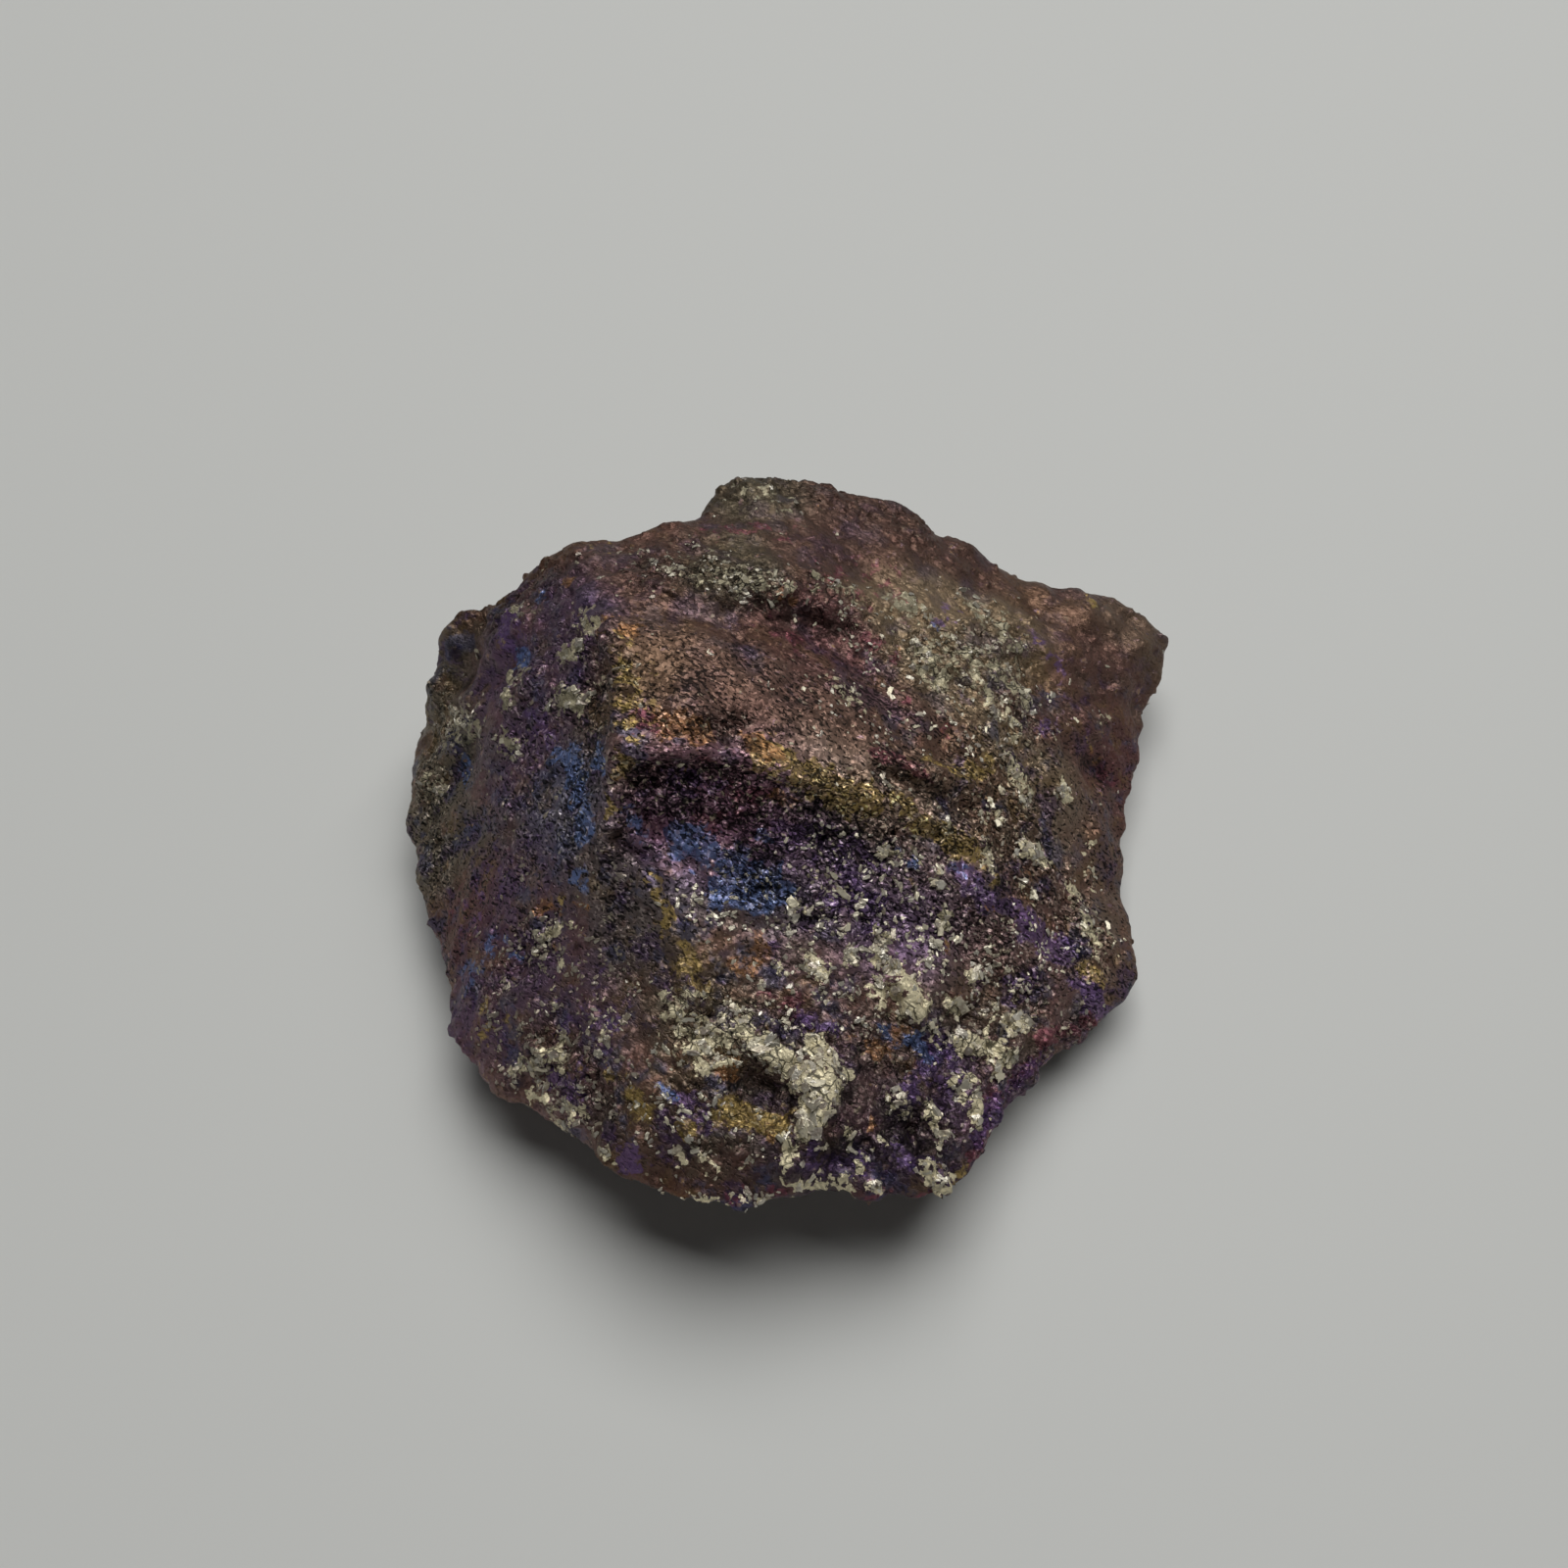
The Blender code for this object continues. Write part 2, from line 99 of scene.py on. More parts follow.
VIOLET = [
    ([(-17.5, 2.6), (-16.8, 1.4)], 1.4, 0.5), ([(-20, 10.6), (-19.5, 9)], 1.6, 0.6),
    ([(2.5, -9.3), (5, -9.3)], 1.1, 1.0), ([(4.6, -10.6)], 0.8, 0.9),
    ([(2.3, -7.4), (3.8, -7.8)], 1.0, 0.8), ([(10.5, -6), (12, -8)], 1.3, 0.7),
    ([(12, -7.4), (14.5, -7.4)], 0.9, 0.8), ([(15, -8.5), (18, -9.5)], 1.4, 0.8),
    ([(12, -20.4), (16, -16.4)], 1.0, 0.5), ([(19, -11), (20.4, -12.6)], 1.1, 0.8),
    ([(0.6, -24.4), (3, -25)], 1.2, 0.6), ([(5.8, -23.4), (7.6, -24.8)], 1.2, 0.6),
    ([(9, -17), (9.6, -19.2)], 1.3, 0.7), ([(-16, -18.6), (-14, -20.4)], 1.3, 0.6),
    ([(-10.4, -24.4)], 1.2, 0.8), ([(17, 13.4), (19, 12)], 1.6, 0.3), ([(18, 6.4)], 1.5, 0.35),
    ([(10.6, 12.5), (11, 14)], 1.3, 0.35), ([(-9, -4.6), (-5, -4.6)], 1.2, 0.5),
    ([(-1, -6.5), (2.5, -6.6), (5, -6.8)], 1.6, 0.6), ([(7, -20), (8, -18)], 1.3, 0.6),
    ([(-20.5, -6), (-22, -7.5)], 2.9, 0.3), ([(-12, -14.5), (-13, -17.5)], 2.9, 0.3),
    ([(11, -22.4), (12.6, -20.6)], 0.9, 0.8), ([(-7, -22), (-6, -23)], 1.5, 0.5),
    ([(-14.6, -16)], 1.4, 0.4), ([(13.6, -13), (15, -12)], 1.1, 0.6), ([(0.5, -16.4), (2, -17)], 1.0, 0.5),
    ([(-17, -5.5)], 1.4, 0.3),
]
RED = [
    ([(12, -20), (14.5, -17.6), (16.5, -16)], 1.0, 0.55), ([(5, -26.9), (9, -26.8)], 0.7, 0.4),
    ([(10.6, -23.6), (12, -21.6)], 0.7, 0.7), ([(-9.8, -1.2), (-8.6, -1.7)], 0.9, 0.9),
    ([(-6, -4), (-5, -4.6)], 0.7, 0.8), ([(-4.4, -4.9), (-2.4, -4.9)], 0.9, 0.8),
    ([(-7, -6), (-4, -5.8)], 0.9, 0.5), ([(5.2, -0.7), (7, -0.8)], 0.9, 0.7),
    ([(7.3, -1.3), (8.2, -1.4)], 0.5, 0.8), ([(7.3, 4.7)], 0.7, 0.8), ([(9.8, 3.4)], 0.6, 0.8),
    ([(5, 9.5), (6.5, 8.3)], 1.0, 0.4), ([(-2, 8.6), (0, 7.6)], 1.4, 0.4),
    ([(-6, 17.5), (-1, 17.5)], 1.8, 0.3), ([(22.5, 5.5)], 1.3, 0.5),
    ([(-1.6, -15.4), (-0.4, -15.6)], 1.0, 0.6), ([(3, 14), (6, 14.5)], 2.9, 0.3),
    ([(-23, -6), (-21, -8.5)], 2.2, 0.3), ([(16, -15.6), (19.5, -13.5)], 0.9, 0.8),
    ([(-1, -27), (-4, -27)], 0.7, 0.5),
]
SILVER = [
    ([(-2.2, -18.5), (-1, -19.2)], 0.9, 0.9), ([(0.8, -18), (1.5, -19.4)], 0.8, 1.0),
    ([(0, -20.4), (1.6, -21)], 1.2, 1.0), ([(1.2, -21.6), (0.6, -23.2)], 1.1, 1.0),
    ([(2.8, -19.8)], 0.6, 0.8), ([(-0.8, -24), (-0.5, -26.2)], 0.6, 0.75),
    ([(0, -27.1), (1.4, -26.6), (3.2, -26)], 0.6, 0.5), ([(4.6, -26.2)], 0.7, 0.5),
    ([(2.9, -23.3), (3.4, -24.3), (3.6, -25.4)], 0.4, 0.5), ([(4.9, -23.2), (4.4, -24.4)], 0.4, 0.5),
    ([(5.9, -20.7), (6.5, -21.4)], 0.7, 0.7), ([(7.8, -20.6), (8.3, -21.6), (8.6, -23.6)], 0.5, 0.8),
    ([(7.5, -24.9), (8.6, -25.4)], 0.8, 0.8), ([(10.7, -19), (11, -21.6)], 0.8, 0.8),
    ([(9.7, -19), (10.1, -20.2)], 0.5, 0.8), ([(10.4, -16.8), (13.4, -16.8)], 1.0, 0.8),
    ([(12.4, -18), (13.2, -17.4)], 0.7, 0.8), ([(13.7, -14.9), (14.6, -14.6)], 0.8, 0.7),
    ([(9.5, -14.3), (10.4, -14.7)], 0.6, 0.8), ([(11, -12), (11.6, -12.7)], 0.6, 0.7),
    ([(6.5, -14), (7.3, -15.2)], 1.1, 1.0), ([(8.2, -16.2), (8.8, -16.9)], 0.45, 0.8),
    ([(4.7, -13.8), (5.1, -15.3)], 0.6, 0.6), ([(3.3, -15)], 0.6, 0.6),
    ([(0.6, -13.2), (1.5, -14)], 0.8, 0.55), ([(-1.4, -13.6)], 0.5, 0.6), ([(3, -12.8)], 0.6, 0.6),
    ([(4, -12), (6.6, -12.9)], 0.5, 0.8), ([(-7.2, -16.8), (-3.8, -17.6)], 1.7, 0.45),
    ([(-6.8, -18.6), (-5, -19.4)], 1.2, 0.45), ([(-8.6, -21.3)], 0.4, 0.8), ([(-7.4, -24.6)], 0.5, 0.8),
    ([(-5.8, -24.8), (-5.3, -25.4)], 0.5, 0.7), ([(-6, -26.8), (-2, -27.2)], 0.6, 0.35),
    ([(12.4, -14), (12, -15.6)], 0.5, 0.5), ([(-15.3, 6), (-14.5, 5.5)], 1.0, 0.6),
    ([(-14.2, 7.7), (-13.3, 6.7)], 1.0, 0.55), ([(-15.2, 3), (-14.2, 2.3)], 1.1, 0.6),
    ([(-16.4, 2.8)], 0.6, 0.5), ([(-19.5, 7), (-18.7, 6.5)], 1.0, 0.55),
    ([(-19.8, 5.6), (-19.5, 4.5)], 0.9, 0.5), ([(-19.8, 2.5), (-19, 1.9)], 1.0, 0.45),
    ([(-25, 7), (-22.5, 5.5)], 1.8, 0.45), ([(-26.5, 3.8), (-25.5, 3)], 1.2, 0.4),
    ([(-22.5, 10.5)], 0.8, 0.4), ([(-19.5, 11.5), (-18.5, 10)], 1.1, 0.45), ([(-17.5, 14.5)], 0.8, 0.6),
    ([(-17, -10.8), (-15.3, -11)], 0.6, 0.45), ([(-14.4, -10.3), (-14, -11)], 0.5, 0.45),
    ([(-16.8, -11.7), (-16.3, -12.4)], 0.5, 0.5), ([(-15.2, -12.9)], 0.5, 0.6),
    ([(-15.7, -14.2)], 0.4, 0.6), ([(-16.3, -17.8), (-15.5, -17.9)], 1.0, 0.6),
    ([(-18.2, -17.6), (-17.4, -17.8)], 0.9, 0.45), ([(-17, -19.4), (-16.2, -19.6)], 0.9, 0.55),
    ([(-15, -21.4), (-14.2, -21)], 1.0, 0.5), ([(-13.8, -20.2)], 0.6, 0.5), ([(-14.8, -17)], 0.6, 0.5),
    ([(-3.2, -11.4)], 0.5, 0.5), ([(-12.4, -23.6), (-11.4, -24.2)], 0.7, 0.4),
    ([(-12.4, -15), (-12.6, -19)], 0.9, 0.3), ([(-15.6, -15.4)], 0.6, 0.4),
    ([(-7.6, 12.2), (-4.6, 11.6), (-1.6, 11.4)], 2.1, 0.5), ([(-11.5, 14.4), (-9.6, 12.6)], 1.3, 0.35),
    ([(-4, 22.4), (-1, 21)], 2.0, 0.35), ([(-6.4, 15)], 1.3, 0.35), ([(1.6, 13.2), (3.4, 12.8)], 1.3, 0.45),
    ([(6.4, 13.5), (8.4, 13)], 1.4, 0.6), ([(3.5, 10)], 0.8, 0.5), ([(6.5, 10)], 0.8, 0.5),
    ([(8.5, 9.4), (9.4, 7.2)], 1.3, 0.65), ([(10, 10), (12, 8.6)], 1.8, 0.5),
    ([(13, 15), (15.4, 12.6)], 2.1, 0.55), ([(14, 10), (15.4, 8.6)], 1.8, 0.55),
    ([(13, 7), (15, 5.6)], 1.4, 0.4), ([(2.6, 4), (4.2, 3.3)], 1.2, 0.3),
    ([(15.3, -3), (16.8, -3.2)], 0.9, 0.7), ([(18.9, -4.4), (19.9, -7.4), (20.2, -9)], 0.8, 0.45),
    ([(18.6, 2.2)], 1.0, 0.5), ([(4.9, -2), (6, -2.3)], 0.7, 0.4), ([(9.6, -3.6)], 0.5, 0.5),
    ([(20.4, -1), (20.6, -3)], 0.9, 0.3), ([(12.3, -4.2), (12.6, -5.4)], 0.7, 0.5),
    ([(15, -5.6), (15.6, -6.4)], 0.6, 0.4), ([(20.8, -5.8), (21.4, -8)], 0.9, 0.35),
    ([(13.6, -1.6)], 0.7, 0.5), ([(12.4, -2.2)], 0.6, 0.6), ([(14.6, 2.6), (15.4, 0.6)], 1.2, 0.4),
    ([(22.6, 9.6)], 1.2, 0.35), ([(5.2, -6.2), (6.6, -6.4)], 0.35, 1.0), ([(7.8, -6.3)], 0.3, 1.0),
    ([(8.7, -7.2), (9.3, -7.5)], 0.3, 0.9), ([(2.6, -9.1)], 0.4, 1.0),
    ([(-0.4, -10.1), (0.2, -10.3)], 0.35, 0.9), ([(1.2, -9.9)], 0.3, 0.9), ([(0.9, -8.6)], 0.3, 0.9),
    ([(9.2, -8.8), (9.6, -9.4)], 0.4, 0.9), ([(6.8, -10.3)], 0.4, 0.9),
    ([(4.9, -10.9), (5.5, -11.2)], 0.4, 0.9), ([(8.3, -10.8)], 0.4, 0.9),
]
# Where the ground is darker: partly a dark stain, and partly painted shade put into the clefts, the crevices
# and under the lip, where shade falls.
STAIN_AND_SHADE = [
    ([(-5.7, -1.5), (-3.2, -2.4)], 0.9, 0.9), ([(-10.4, -4.2), (-8, -4.4), (-5.4, -4.4)], 0.9, 0.6),
    ([(-4.6, -4.3), (-2.6, -4.3)], 0.6, 0.4), ([(-6, -6), (-3.6, -6.1)], 0.35, 0.9),
    ([(-4, -7.2), (-1.4, -7.4)], 0.6, 0.8), ([(1.4, -6), (3.4, -5.6), (5.6, -6)], 1.2, 0.6),
    ([(-11.4, -7), (-9.6, -7.5)], 0.7, 1.0), ([(-12.2, -7.8), (-11.4, -8.2)], 0.6, 0.8),
    ([(-7.2, -9.3)], 0.35, 0.9), ([(5.6, -9.1), (6.2, -9.4)], 0.5, 0.8),
    ([(5.4, -1.6), (7, -1.8), (9.3, -2.1), (11.4, -2.3)], 0.9, 1.0),
    ([(-3.8, -20.8), (-2, -20.6)], 1.1, 0.8), ([(3, -21)], 0.8, 1.0),
    ([(6.8, -22.6), (7.4, -23.4)], 1.3, 1.0), ([(1.4, -24.4), (3, -24)], 1.1, 0.9),
    ([(-4, 10), (-2, 10), (1, 9.7), (3.5, 9.2)], 1.3, 0.7), ([(-1.7, 8.5), (0, 7.6)], 0.6, 0.7),
    ([(2.5, 7.8), (3.3, 6.3)], 0.7, 0.6), ([(1.7, 1.6), (2.8, 1.3)], 0.7, 0.7),
    ([(20.6, 6), (22.4, 5.5)], 0.8, 0.8), ([(-24.5, 11.5), (-23.6, 9)], 0.9, 0.8),
    ([(-23, 5), (-24.5, 4)], 0.9, 0.6), ([(9.6, -14.8), (10.2, -15.4)], 0.6, 0.8),
    ([(11, -15.6), (12, -15)], 0.6, 0.7), ([(-6.2, 2.2)], 0.5, 0.6), ([(13, -6.4), (14, -8)], 0.8, 0.6),
    ([(-14, -12.2)], 0.5, 0.8), ([(-14.2, -9.6)], 0.4, 0.7), ([(-18.8, -20), (-18.4, -19)], 0.7, 0.6),
    ([(-16.4, -0.6), (-16.3, -2)], 0.45, 0.8), ([(8.6, -11.4), (9.4, -12.8)], 0.5, 0.7),
    ([(-5, -20), (-6.4, -25)], 0.8, 0.3), ([(7, -19.4)], 0.4, 0.7), ([(-2, 12.4)], 0.8, 0.4),
    ([(-7.5, 10), (-5, 9.6)], 1.0, 0.5), ([(-21.5, 10), (-20.5, 12)], 1.2, 0.5),
]

# The dull ground that the colours lie on, as the tint nearest to each of these places.
MAUVE = (0.142, 0.077, 0.062)
OCHRE = (0.153, 0.096, 0.054)
ROSE = (0.155, 0.072, 0.070)
UMBER = (0.140, 0.080, 0.052)
BARK = (0.108, 0.058, 0.045)
MOSS = (0.100, 0.079, 0.051)
STEEL = (0.252, 0.182, 0.112)
SAND = (0.185, 0.150, 0.108)
PLUM = (0.144, 0.087, 0.140)
LILAC = (0.228, 0.149, 0.242)
HAZE = (0.170, 0.160, 0.225)
HEATHER = (0.196, 0.120, 0.116)
LOAM = (0.158, 0.104, 0.072)
RUSSET = (0.184, 0.106, 0.078)
BRASS = (0.475, 0.335, 0.245)
DUSK = (0.560, 0.265, 0.430)
ASH = (0.218, 0.152, 0.116)
TAUPE = (0.168, 0.130, 0.112)
FAWN = (0.172, 0.119, 0.096)
NIGHT = (0.073, 0.046, 0.062)
GROUND = [
    ((-9, 5), RUSSET), ((-5, 3), RUSSET), ((-2, 6), MAUVE), ((3, 1), RUSSET), ((1, 8), ROSE),
    ((6, 3), MAUVE), ((-10.6, 2), OCHRE), ((-10.4, -1.4), OCHRE), ((-9.4, 3.4), OCHRE), ((-7, 0), RUSSET),
    ((-2, 0), MAUVE), ((-9, -2.8), HEATHER), ((8, -1), UMBER), ((-12, 12), BARK), ((-9, 16), BARK),
    ((-5, 14), MOSS), ((-2, 22), MOSS), ((3, 23), BARK), ((1, 17), BARK), ((6, 19), BARK), ((12, 22), BARK),
    ((19, 20), UMBER), ((26, 19), LOAM), ((8, 14), STEEL), ((10, 9), STEEL), ((15, 12), STEEL),
    ((18, 8), MAUVE), ((22, 12), MAUVE), ((23, 6), ROSE), ((22, 0), MAUVE), ((22, -6), UMBER),
    ((17, 2), STEEL), ((14, -2), UMBER), ((17, -6), MAUVE), ((17, -10.5), HEATHER), ((19, 0), ASH),
    ((20.5, -6), ASH), ((12, -9), HEATHER), ((8, -7), LILAC), ((2, -7), LILAC), ((-5, -5), HEATHER),
    ((-8, -8), HAZE), ((-2, -9), HAZE), ((-5, -12), FAWN), ((0, -13), HEATHER), ((6, -11), LILAC),
    ((6, -16), LOAM), ((12, -14), LOAM), ((-2, -20), LOAM), ((3, -18), HEATHER), ((5, -21), NIGHT),
    ((-6.5, -2.9), RUSSET), ((-3.2, -3.1), RUSSET), ((2, -25), NIGHT), ((7, -24), NIGHT),
    ((-3, -21), NIGHT), ((-7, -22), LOAM), ((-8, -25.5), BARK), ((-8, -16), LOAM), ((-5.5, -17.6), STEEL),
    ((-12, -17), HEATHER), ((-15, -13), PLUM), ((-17, -18), HEATHER), ((-20, -13), PLUM), ((-18, -8), PLUM),
    ((-23, -7), ROSE), ((-24, -2), SAND), ((-14, -4), HAZE), ((-19, 1), PLUM), ((-26, 4), SAND),
    ((-26, 10), SAND), ((-20, 8), PLUM), ((-22, 14), UMBER), ((-16, 10), PLUM), ((-15, 5), PLUM),
    ((-17, 15), UMBER), ((-12, -9), TAUPE), ((-10, -12), TAUPE), ((11, -19), PLUM), ((1, -3.5), BRASS),
    ((5, -4), BRASS), ((9, -4.4), BRASS), ((-8, -5.4), DUSK), ((-4.5, -5.4), DUSK), ((-2.5, -5.6), DUSK),
    ((0, -5.8), LILAC),
]
GROUND_REACH = 2.6

# Where the ground is nearly of one colour. Elsewhere grains of many colours lie mixed.
EVEN = [
    ([(-9, 4), (-3, 1), (3, 1)], 5.0, 0.9), ([(4, 6), (9, 4)], 4.0, 0.6),
    ([(-10, 12), (0, 14), (12, 16)], 9.0, 0.75), ([(-9, -5.2), (-2, -5.2)], 2.4, 0.8),
    ([(0, -7), (6, -9), (11, -9)], 4.0, 0.8), ([(19, 6), (21, -4)], 4.0, 0.35),
    ([(-4, 22), (10, 20), (24, 18)], 8.0, 0.8), ([(0, -22), (8, -22)], 4.0, 0.5),
]

# Where the break is coarse and hackly, as strokes again.
ROUGH = [
    ([(-9, -5), (-5, -5), (0, -6), (6, -6.5)], 3.2, 1.0), ([(-4, -8), (0, -9.5), (5, -9.5)], 2.4, 0.8),
    ([(7, -8), (12, -9), (15, -13)], 2.6, 0.7), ([(6, -2), (12, -2.5), (15, -5)], 2.2, 0.5),
    ([(-6, -17), (0, -18), (6, -18), (12, -17)], 3.6, 0.7), ([(-6, -22), (1, -22), (8, -22)], 3.6, 0.6),
    ([(-16, -17), (-12, -21)], 2.6, 0.8), ([(-17, -11), (-20, -13)], 2.2, 0.5),
    ([(-10, -4), (-12, -8), (-10.5, -14)], 1.8, 0.4), ([(-10, 12), (-2, 12), (4, 11)], 2.4, 0.6),
    ([(8, 9), (14, 12), (16, 7)], 3.4, 0.5), ([(-16, 12), (-22, 13)], 2.6, 0.6),
    ([(-26, 10), (-27, 4), (-25, -3)], 1.8, 0.6), ([(-8, 20), (0, 24), (8, 22)], 3.0, 0.4),
    ([(-8.5, -1.5), (-4, -1)], 1.2, 0.6), ([(-13, 5), (-13, -1), (-14.5, -6)], 2.2, 0.6),
    ([(0, -3.8), (6, -3.6), (10, -4.2)], 1.6, 0.7), ([(-11, 3), (-11, -4)], 1.0, 0.7),
    ([(11, -23), (14.5, -17.8), (19, -13.5)], 1.4, 0.7), ([(13, 2), (17, -4), (19, -9)], 3.0, 0.45),
    ([(-17, 8), (-17, 2), (-18, -4)], 3.4, 0.35),
]

# The clefts that cut into the break, each with its reach and its depth.
CLEFTS = [
    ([(-10.3, -4.6), (-8.5, -4.3), (-6, -4.2), (-3.5, -4.4)], 1.1, 0.65),
    ([(-7, -7.8), (-5.5, -9.3)], 0.5, 0.3), ([(5, -1.8), (6.6, -2.1), (9.3, -2.1), (11.6, -2.1)], 0.6, 0.6),
    ([(-4, -10.9), (-1, -11.3), (0.3, -10.8)], 0.8, 0.2), ([(-3.4, -20.4), (-2.4, -20.7)], 1.0, 0.2),
    ([(-11.5, -7.3), (-9, -8)], 0.45, 0.4), ([(1, -10.6), (2.4, -10.6)], 0.3, 0.4),
    ([(10.8, -14.6), (12, -14.3)], 0.6, 0.5), ([(7, -22.8), (8, -22.2)], 0.7, 0.5),
    ([(4.6, 8.4), (3.5, 10)], 0.5, 0.4), ([(6, 6.6), (8.5, 5.8)], 0.5, 0.3),
    ([(-4.5, 9.4), (-1, 9.9), (2.5, 9.2)], 1.3, 0.25), ([(7, -21.6), (7.2, -23.6)], 0.7, 0.5),
    ([(3, -21)], 0.7, 0.5), ([(-11.4, -7), (-9.6, -7.6)], 0.6, 0.5), ([(5.6, -9.1), (6.3, -9.4)], 0.5, 0.4),
    ([(9.6, -14.9), (11.8, -15.2)], 0.5, 0.5),
]

# The sharp crests and the edges of blocks, each with the width of its flanks and its height.
CRESTS = [
    ([(-12.3, 7), (-11.6, 4), (-11.2, 1), (-11, -2), (-11.3, -5), (-11.9, -7.5)], 1.6, 0.85),
    ([(-9.8, -9), (-8.6, -10.8), (-7.8, -12.5), (-7, -14.6), (-6.6, -16.6)], 1.3, 0.55),
    (
        [(-10.4, -3.1), (-8, -3.3), (-4.6, -3.3), (-2, -3.7), (1, -3.9), (4.6, -3.9), (8, -3.9), (11, -4.3)],
        1.1, 0.75,
    ),
    ([(-7.6, -6.6), (-6.4, -8.2), (-5, -9.5), (-3.9, -10.3), (-1, -10.5)], 1.3, 0.30),
    ([(0, -20.4), (1.6, -21), (0.7, -23.2)], 1.5, 0.45),
    ([(8, -24), (10, -20.6), (12, -18), (14.4, -15.6)], 1.0, 0.40),
    ([(6.2, -13.8), (7.4, -15.4)], 1.2, 0.50), ([(5.8, -20.6), (6.6, -21.4)], 0.8, 0.35),
    ([(7.6, -24.8), (8.8, -25.4)], 0.9, 0.35), ([(-16.4, -17.8), (-15.4, -18)], 0.8, 0.35),
    ([(-5, 11.4), (-1, 11.6), (3, 10.8)], 1.6, 0.25), ([(6.4, -1.1), (9, -0.7), (12, -0.5)], 0.8, 0.40),
]

# How far out a stroke keeps its full strength, as a share of its reach, and where it has faded out.
CORE = 0.2
SILVER_CORE = 0.35
RIM = 1.4

# Heights in millimetres from which a place in plan is looked for on the lump.
ABOVE_IT = 40.0
BESIDE_IT = 10.0

# The way to the side that the strokes were placed from.
SHOWN_SIDE = (0.0, -0.53, 0.85)

# How far the outlines of the strokes stray, over what length they turn, and where their noise is read.
STRAY = 0.55
STRAY_SIZE = 0.8
STRAY_SHIFTS = ((3, 1, 4), (15, 9, 2), (6, 5, 35))

# The patches of each colour on the hidden side: their size, where their noise is read, and its level at their
# edge.
HIDDEN_PATCHES = {
    "gold": (4.2, (8, 0, 1), 0.32), "orange": (3.4, (2, 7, 5), 0.5), "blue": (5.5, (1, 9, 6), 0.34),
    "violet": (5.0, (4, 4, 8), 0.2), "red": (4.6, (9, 2, 9), 0.34), "silver": (3.2, (5, 3, 5), 0.2),
    "stain_and_shade": (2.4, (7, 7, 1), 0.36),
}
HIDDEN_STRENGTH = 0.7
HIDDEN_ROUGHNESS = 0.3
HIDDEN_MIX_SIZE = 6.0

# The sizes of the forms of the break, in millimetres.
SWELL = 1.9
SHARD = 1.35
KNOB = 0.60
GRIT = 0.36
CRUST_PATCH = 0.9
PIT = 0.62
PIT_FIELD = 2.6

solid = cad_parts["chalcopyrite"]
shell = BVHTree.FromPolygons(
    [vertex.co / MM for vertex in solid.data.vertices],
    [face.vertices[:] for face in solid.data.polygons],
)


def on_top(place):
    """The point of the lump's top at a place in plan, or the nearest point of the lump if there is none."""
    found, _, _, _ = shell.ray_cast(Vector((*place, ABOVE_IT)), Vector((0, 0, -1)))
    if found is None:
        found, _, _, _ = shell.find_nearest(Vector((*place, BESIDE_IT)))
    return np.array(found)


def grid(spots, size, shift, octaves=2):
    """Smooth noise at each spot in millimetres, about -1 to 1, with swells of this size."""
    place = Vector(shift)
    return np.array([noise.fractal(Vector(spot) / size + place, 0.8, 2.0, octaves) for spot in spots])


def step(low, high, value):
    """0 below low, 1 above high, and a smooth rise between."""
    share = np.clip((value - low) / (high - low), 0, 1)
    return share * share * (3 - 2 * share)


def cover(spots, strokes, core=CORE, rim=RIM):
    """How strongly the strokes cover each spot: their strength along them, fading out past their reach."""
    most = np.zeros(len(spots))
    for points, reach, strength in strokes:
        ends = [on_top(point) for point in points]
        for start, end in zip(ends, ends[1:] or ends):
            low, high = np.minimum(start, end) - rim * reach, np.maximum(start, end) + rim * reach
            near = np.nonzero(((spots > low) & (spots < high)).all(1))[0]
            run = end - start
            share = np.clip((spots[near] - start) @ run / max(run @ run, 1e-9), 0, 1)
            gap = np.linalg.norm(spots[near] - start - share[:, None] * run, axis=1)
            most[near] = np.maximum(most[near], strength * (1 - step(core, rim, gap / reach)))
    return most


def spread(values, links, passes):
    """Values on the points of a mesh, averaged with their neighbours' so many times."""
    count = len(values)
    first, second = links.T
    partners = np.bincount(first, minlength=count) + np.bincount(second, minlength=count)
    values = values.reshape(count, -1)
    for _ in range(passes):
        total = np.stack([
            np.bincount(first, column[second], count) + np.bincount(second, column[first], count)
            for column in values.T
        ], axis=1)
        values = 0.5 * values + 0.5 * total / partners[:, None]
    return values


def facts(mesh):
    """A mesh's points in millimetres, their normals and the pairs of points that its edges join."""
    spots = np.zeros(len(mesh.vertices) * 3)
    mesh.vertices.foreach_get("co", spots)
    normals = np.zeros(len(mesh.vertices) * 3)
    mesh.vertex_normals.foreach_get("vector", normals)
    links = np.zeros(len(mesh.edges) * 2, int)
    mesh.edges.foreach_get("vertices", links)
    return spots.reshape(-1, 3) / MM, normals.reshape(-1, 3), links.reshape(-1, 2)


def shown_side(normals):
    """1 where the surface faces the side that the strokes were placed from, 0 where it faces away."""
    return step(-0.50, -0.05, normals @ np.array(SHOWN_SIDE))


def strayed(spots):
    """The spots moved a little each its own way, so that the outline of what covers them is ragged."""
    return spots + STRAY * np.stack([grid(spots, STRAY_SIZE, shift, 3) for shift in STRAY_SHIFTS], axis=1)


def tarnish(spots, facing):
    """How strongly each colour, and the dark of stain and painted shade, covers each spot. The side that no
    stroke reaches has patches of them all.
    """
    around = strayed(spots)
    strokes = {
        "gold": GOLD, "orange": ORANGE, "blue": BLUE, "violet": VIOLET, "red": RED, "silver": SILVER,
        "stain_and_shade": STAIN_AND_SHADE,
    }
    shares = {}
    for name, (size, shift, level) in HIDDEN_PATCHES.items():
        patches = HIDDEN_STRENGTH * step(level, level + 0.45, grid(spots, size, shift))
        core = SILVER_CORE if name == "silver" else CORE
        shares[name] = cover(around, strokes[name], core) * facing + patches * (1 - facing)
    return shares


def roughness_of_break(spots, facing):
    """How coarse the break is at each spot. The side that no stroke reaches is the same all over."""
    return cover(strayed(spots), ROUGH) * facing + HIDDEN_ROUGHNESS * (1 - facing)


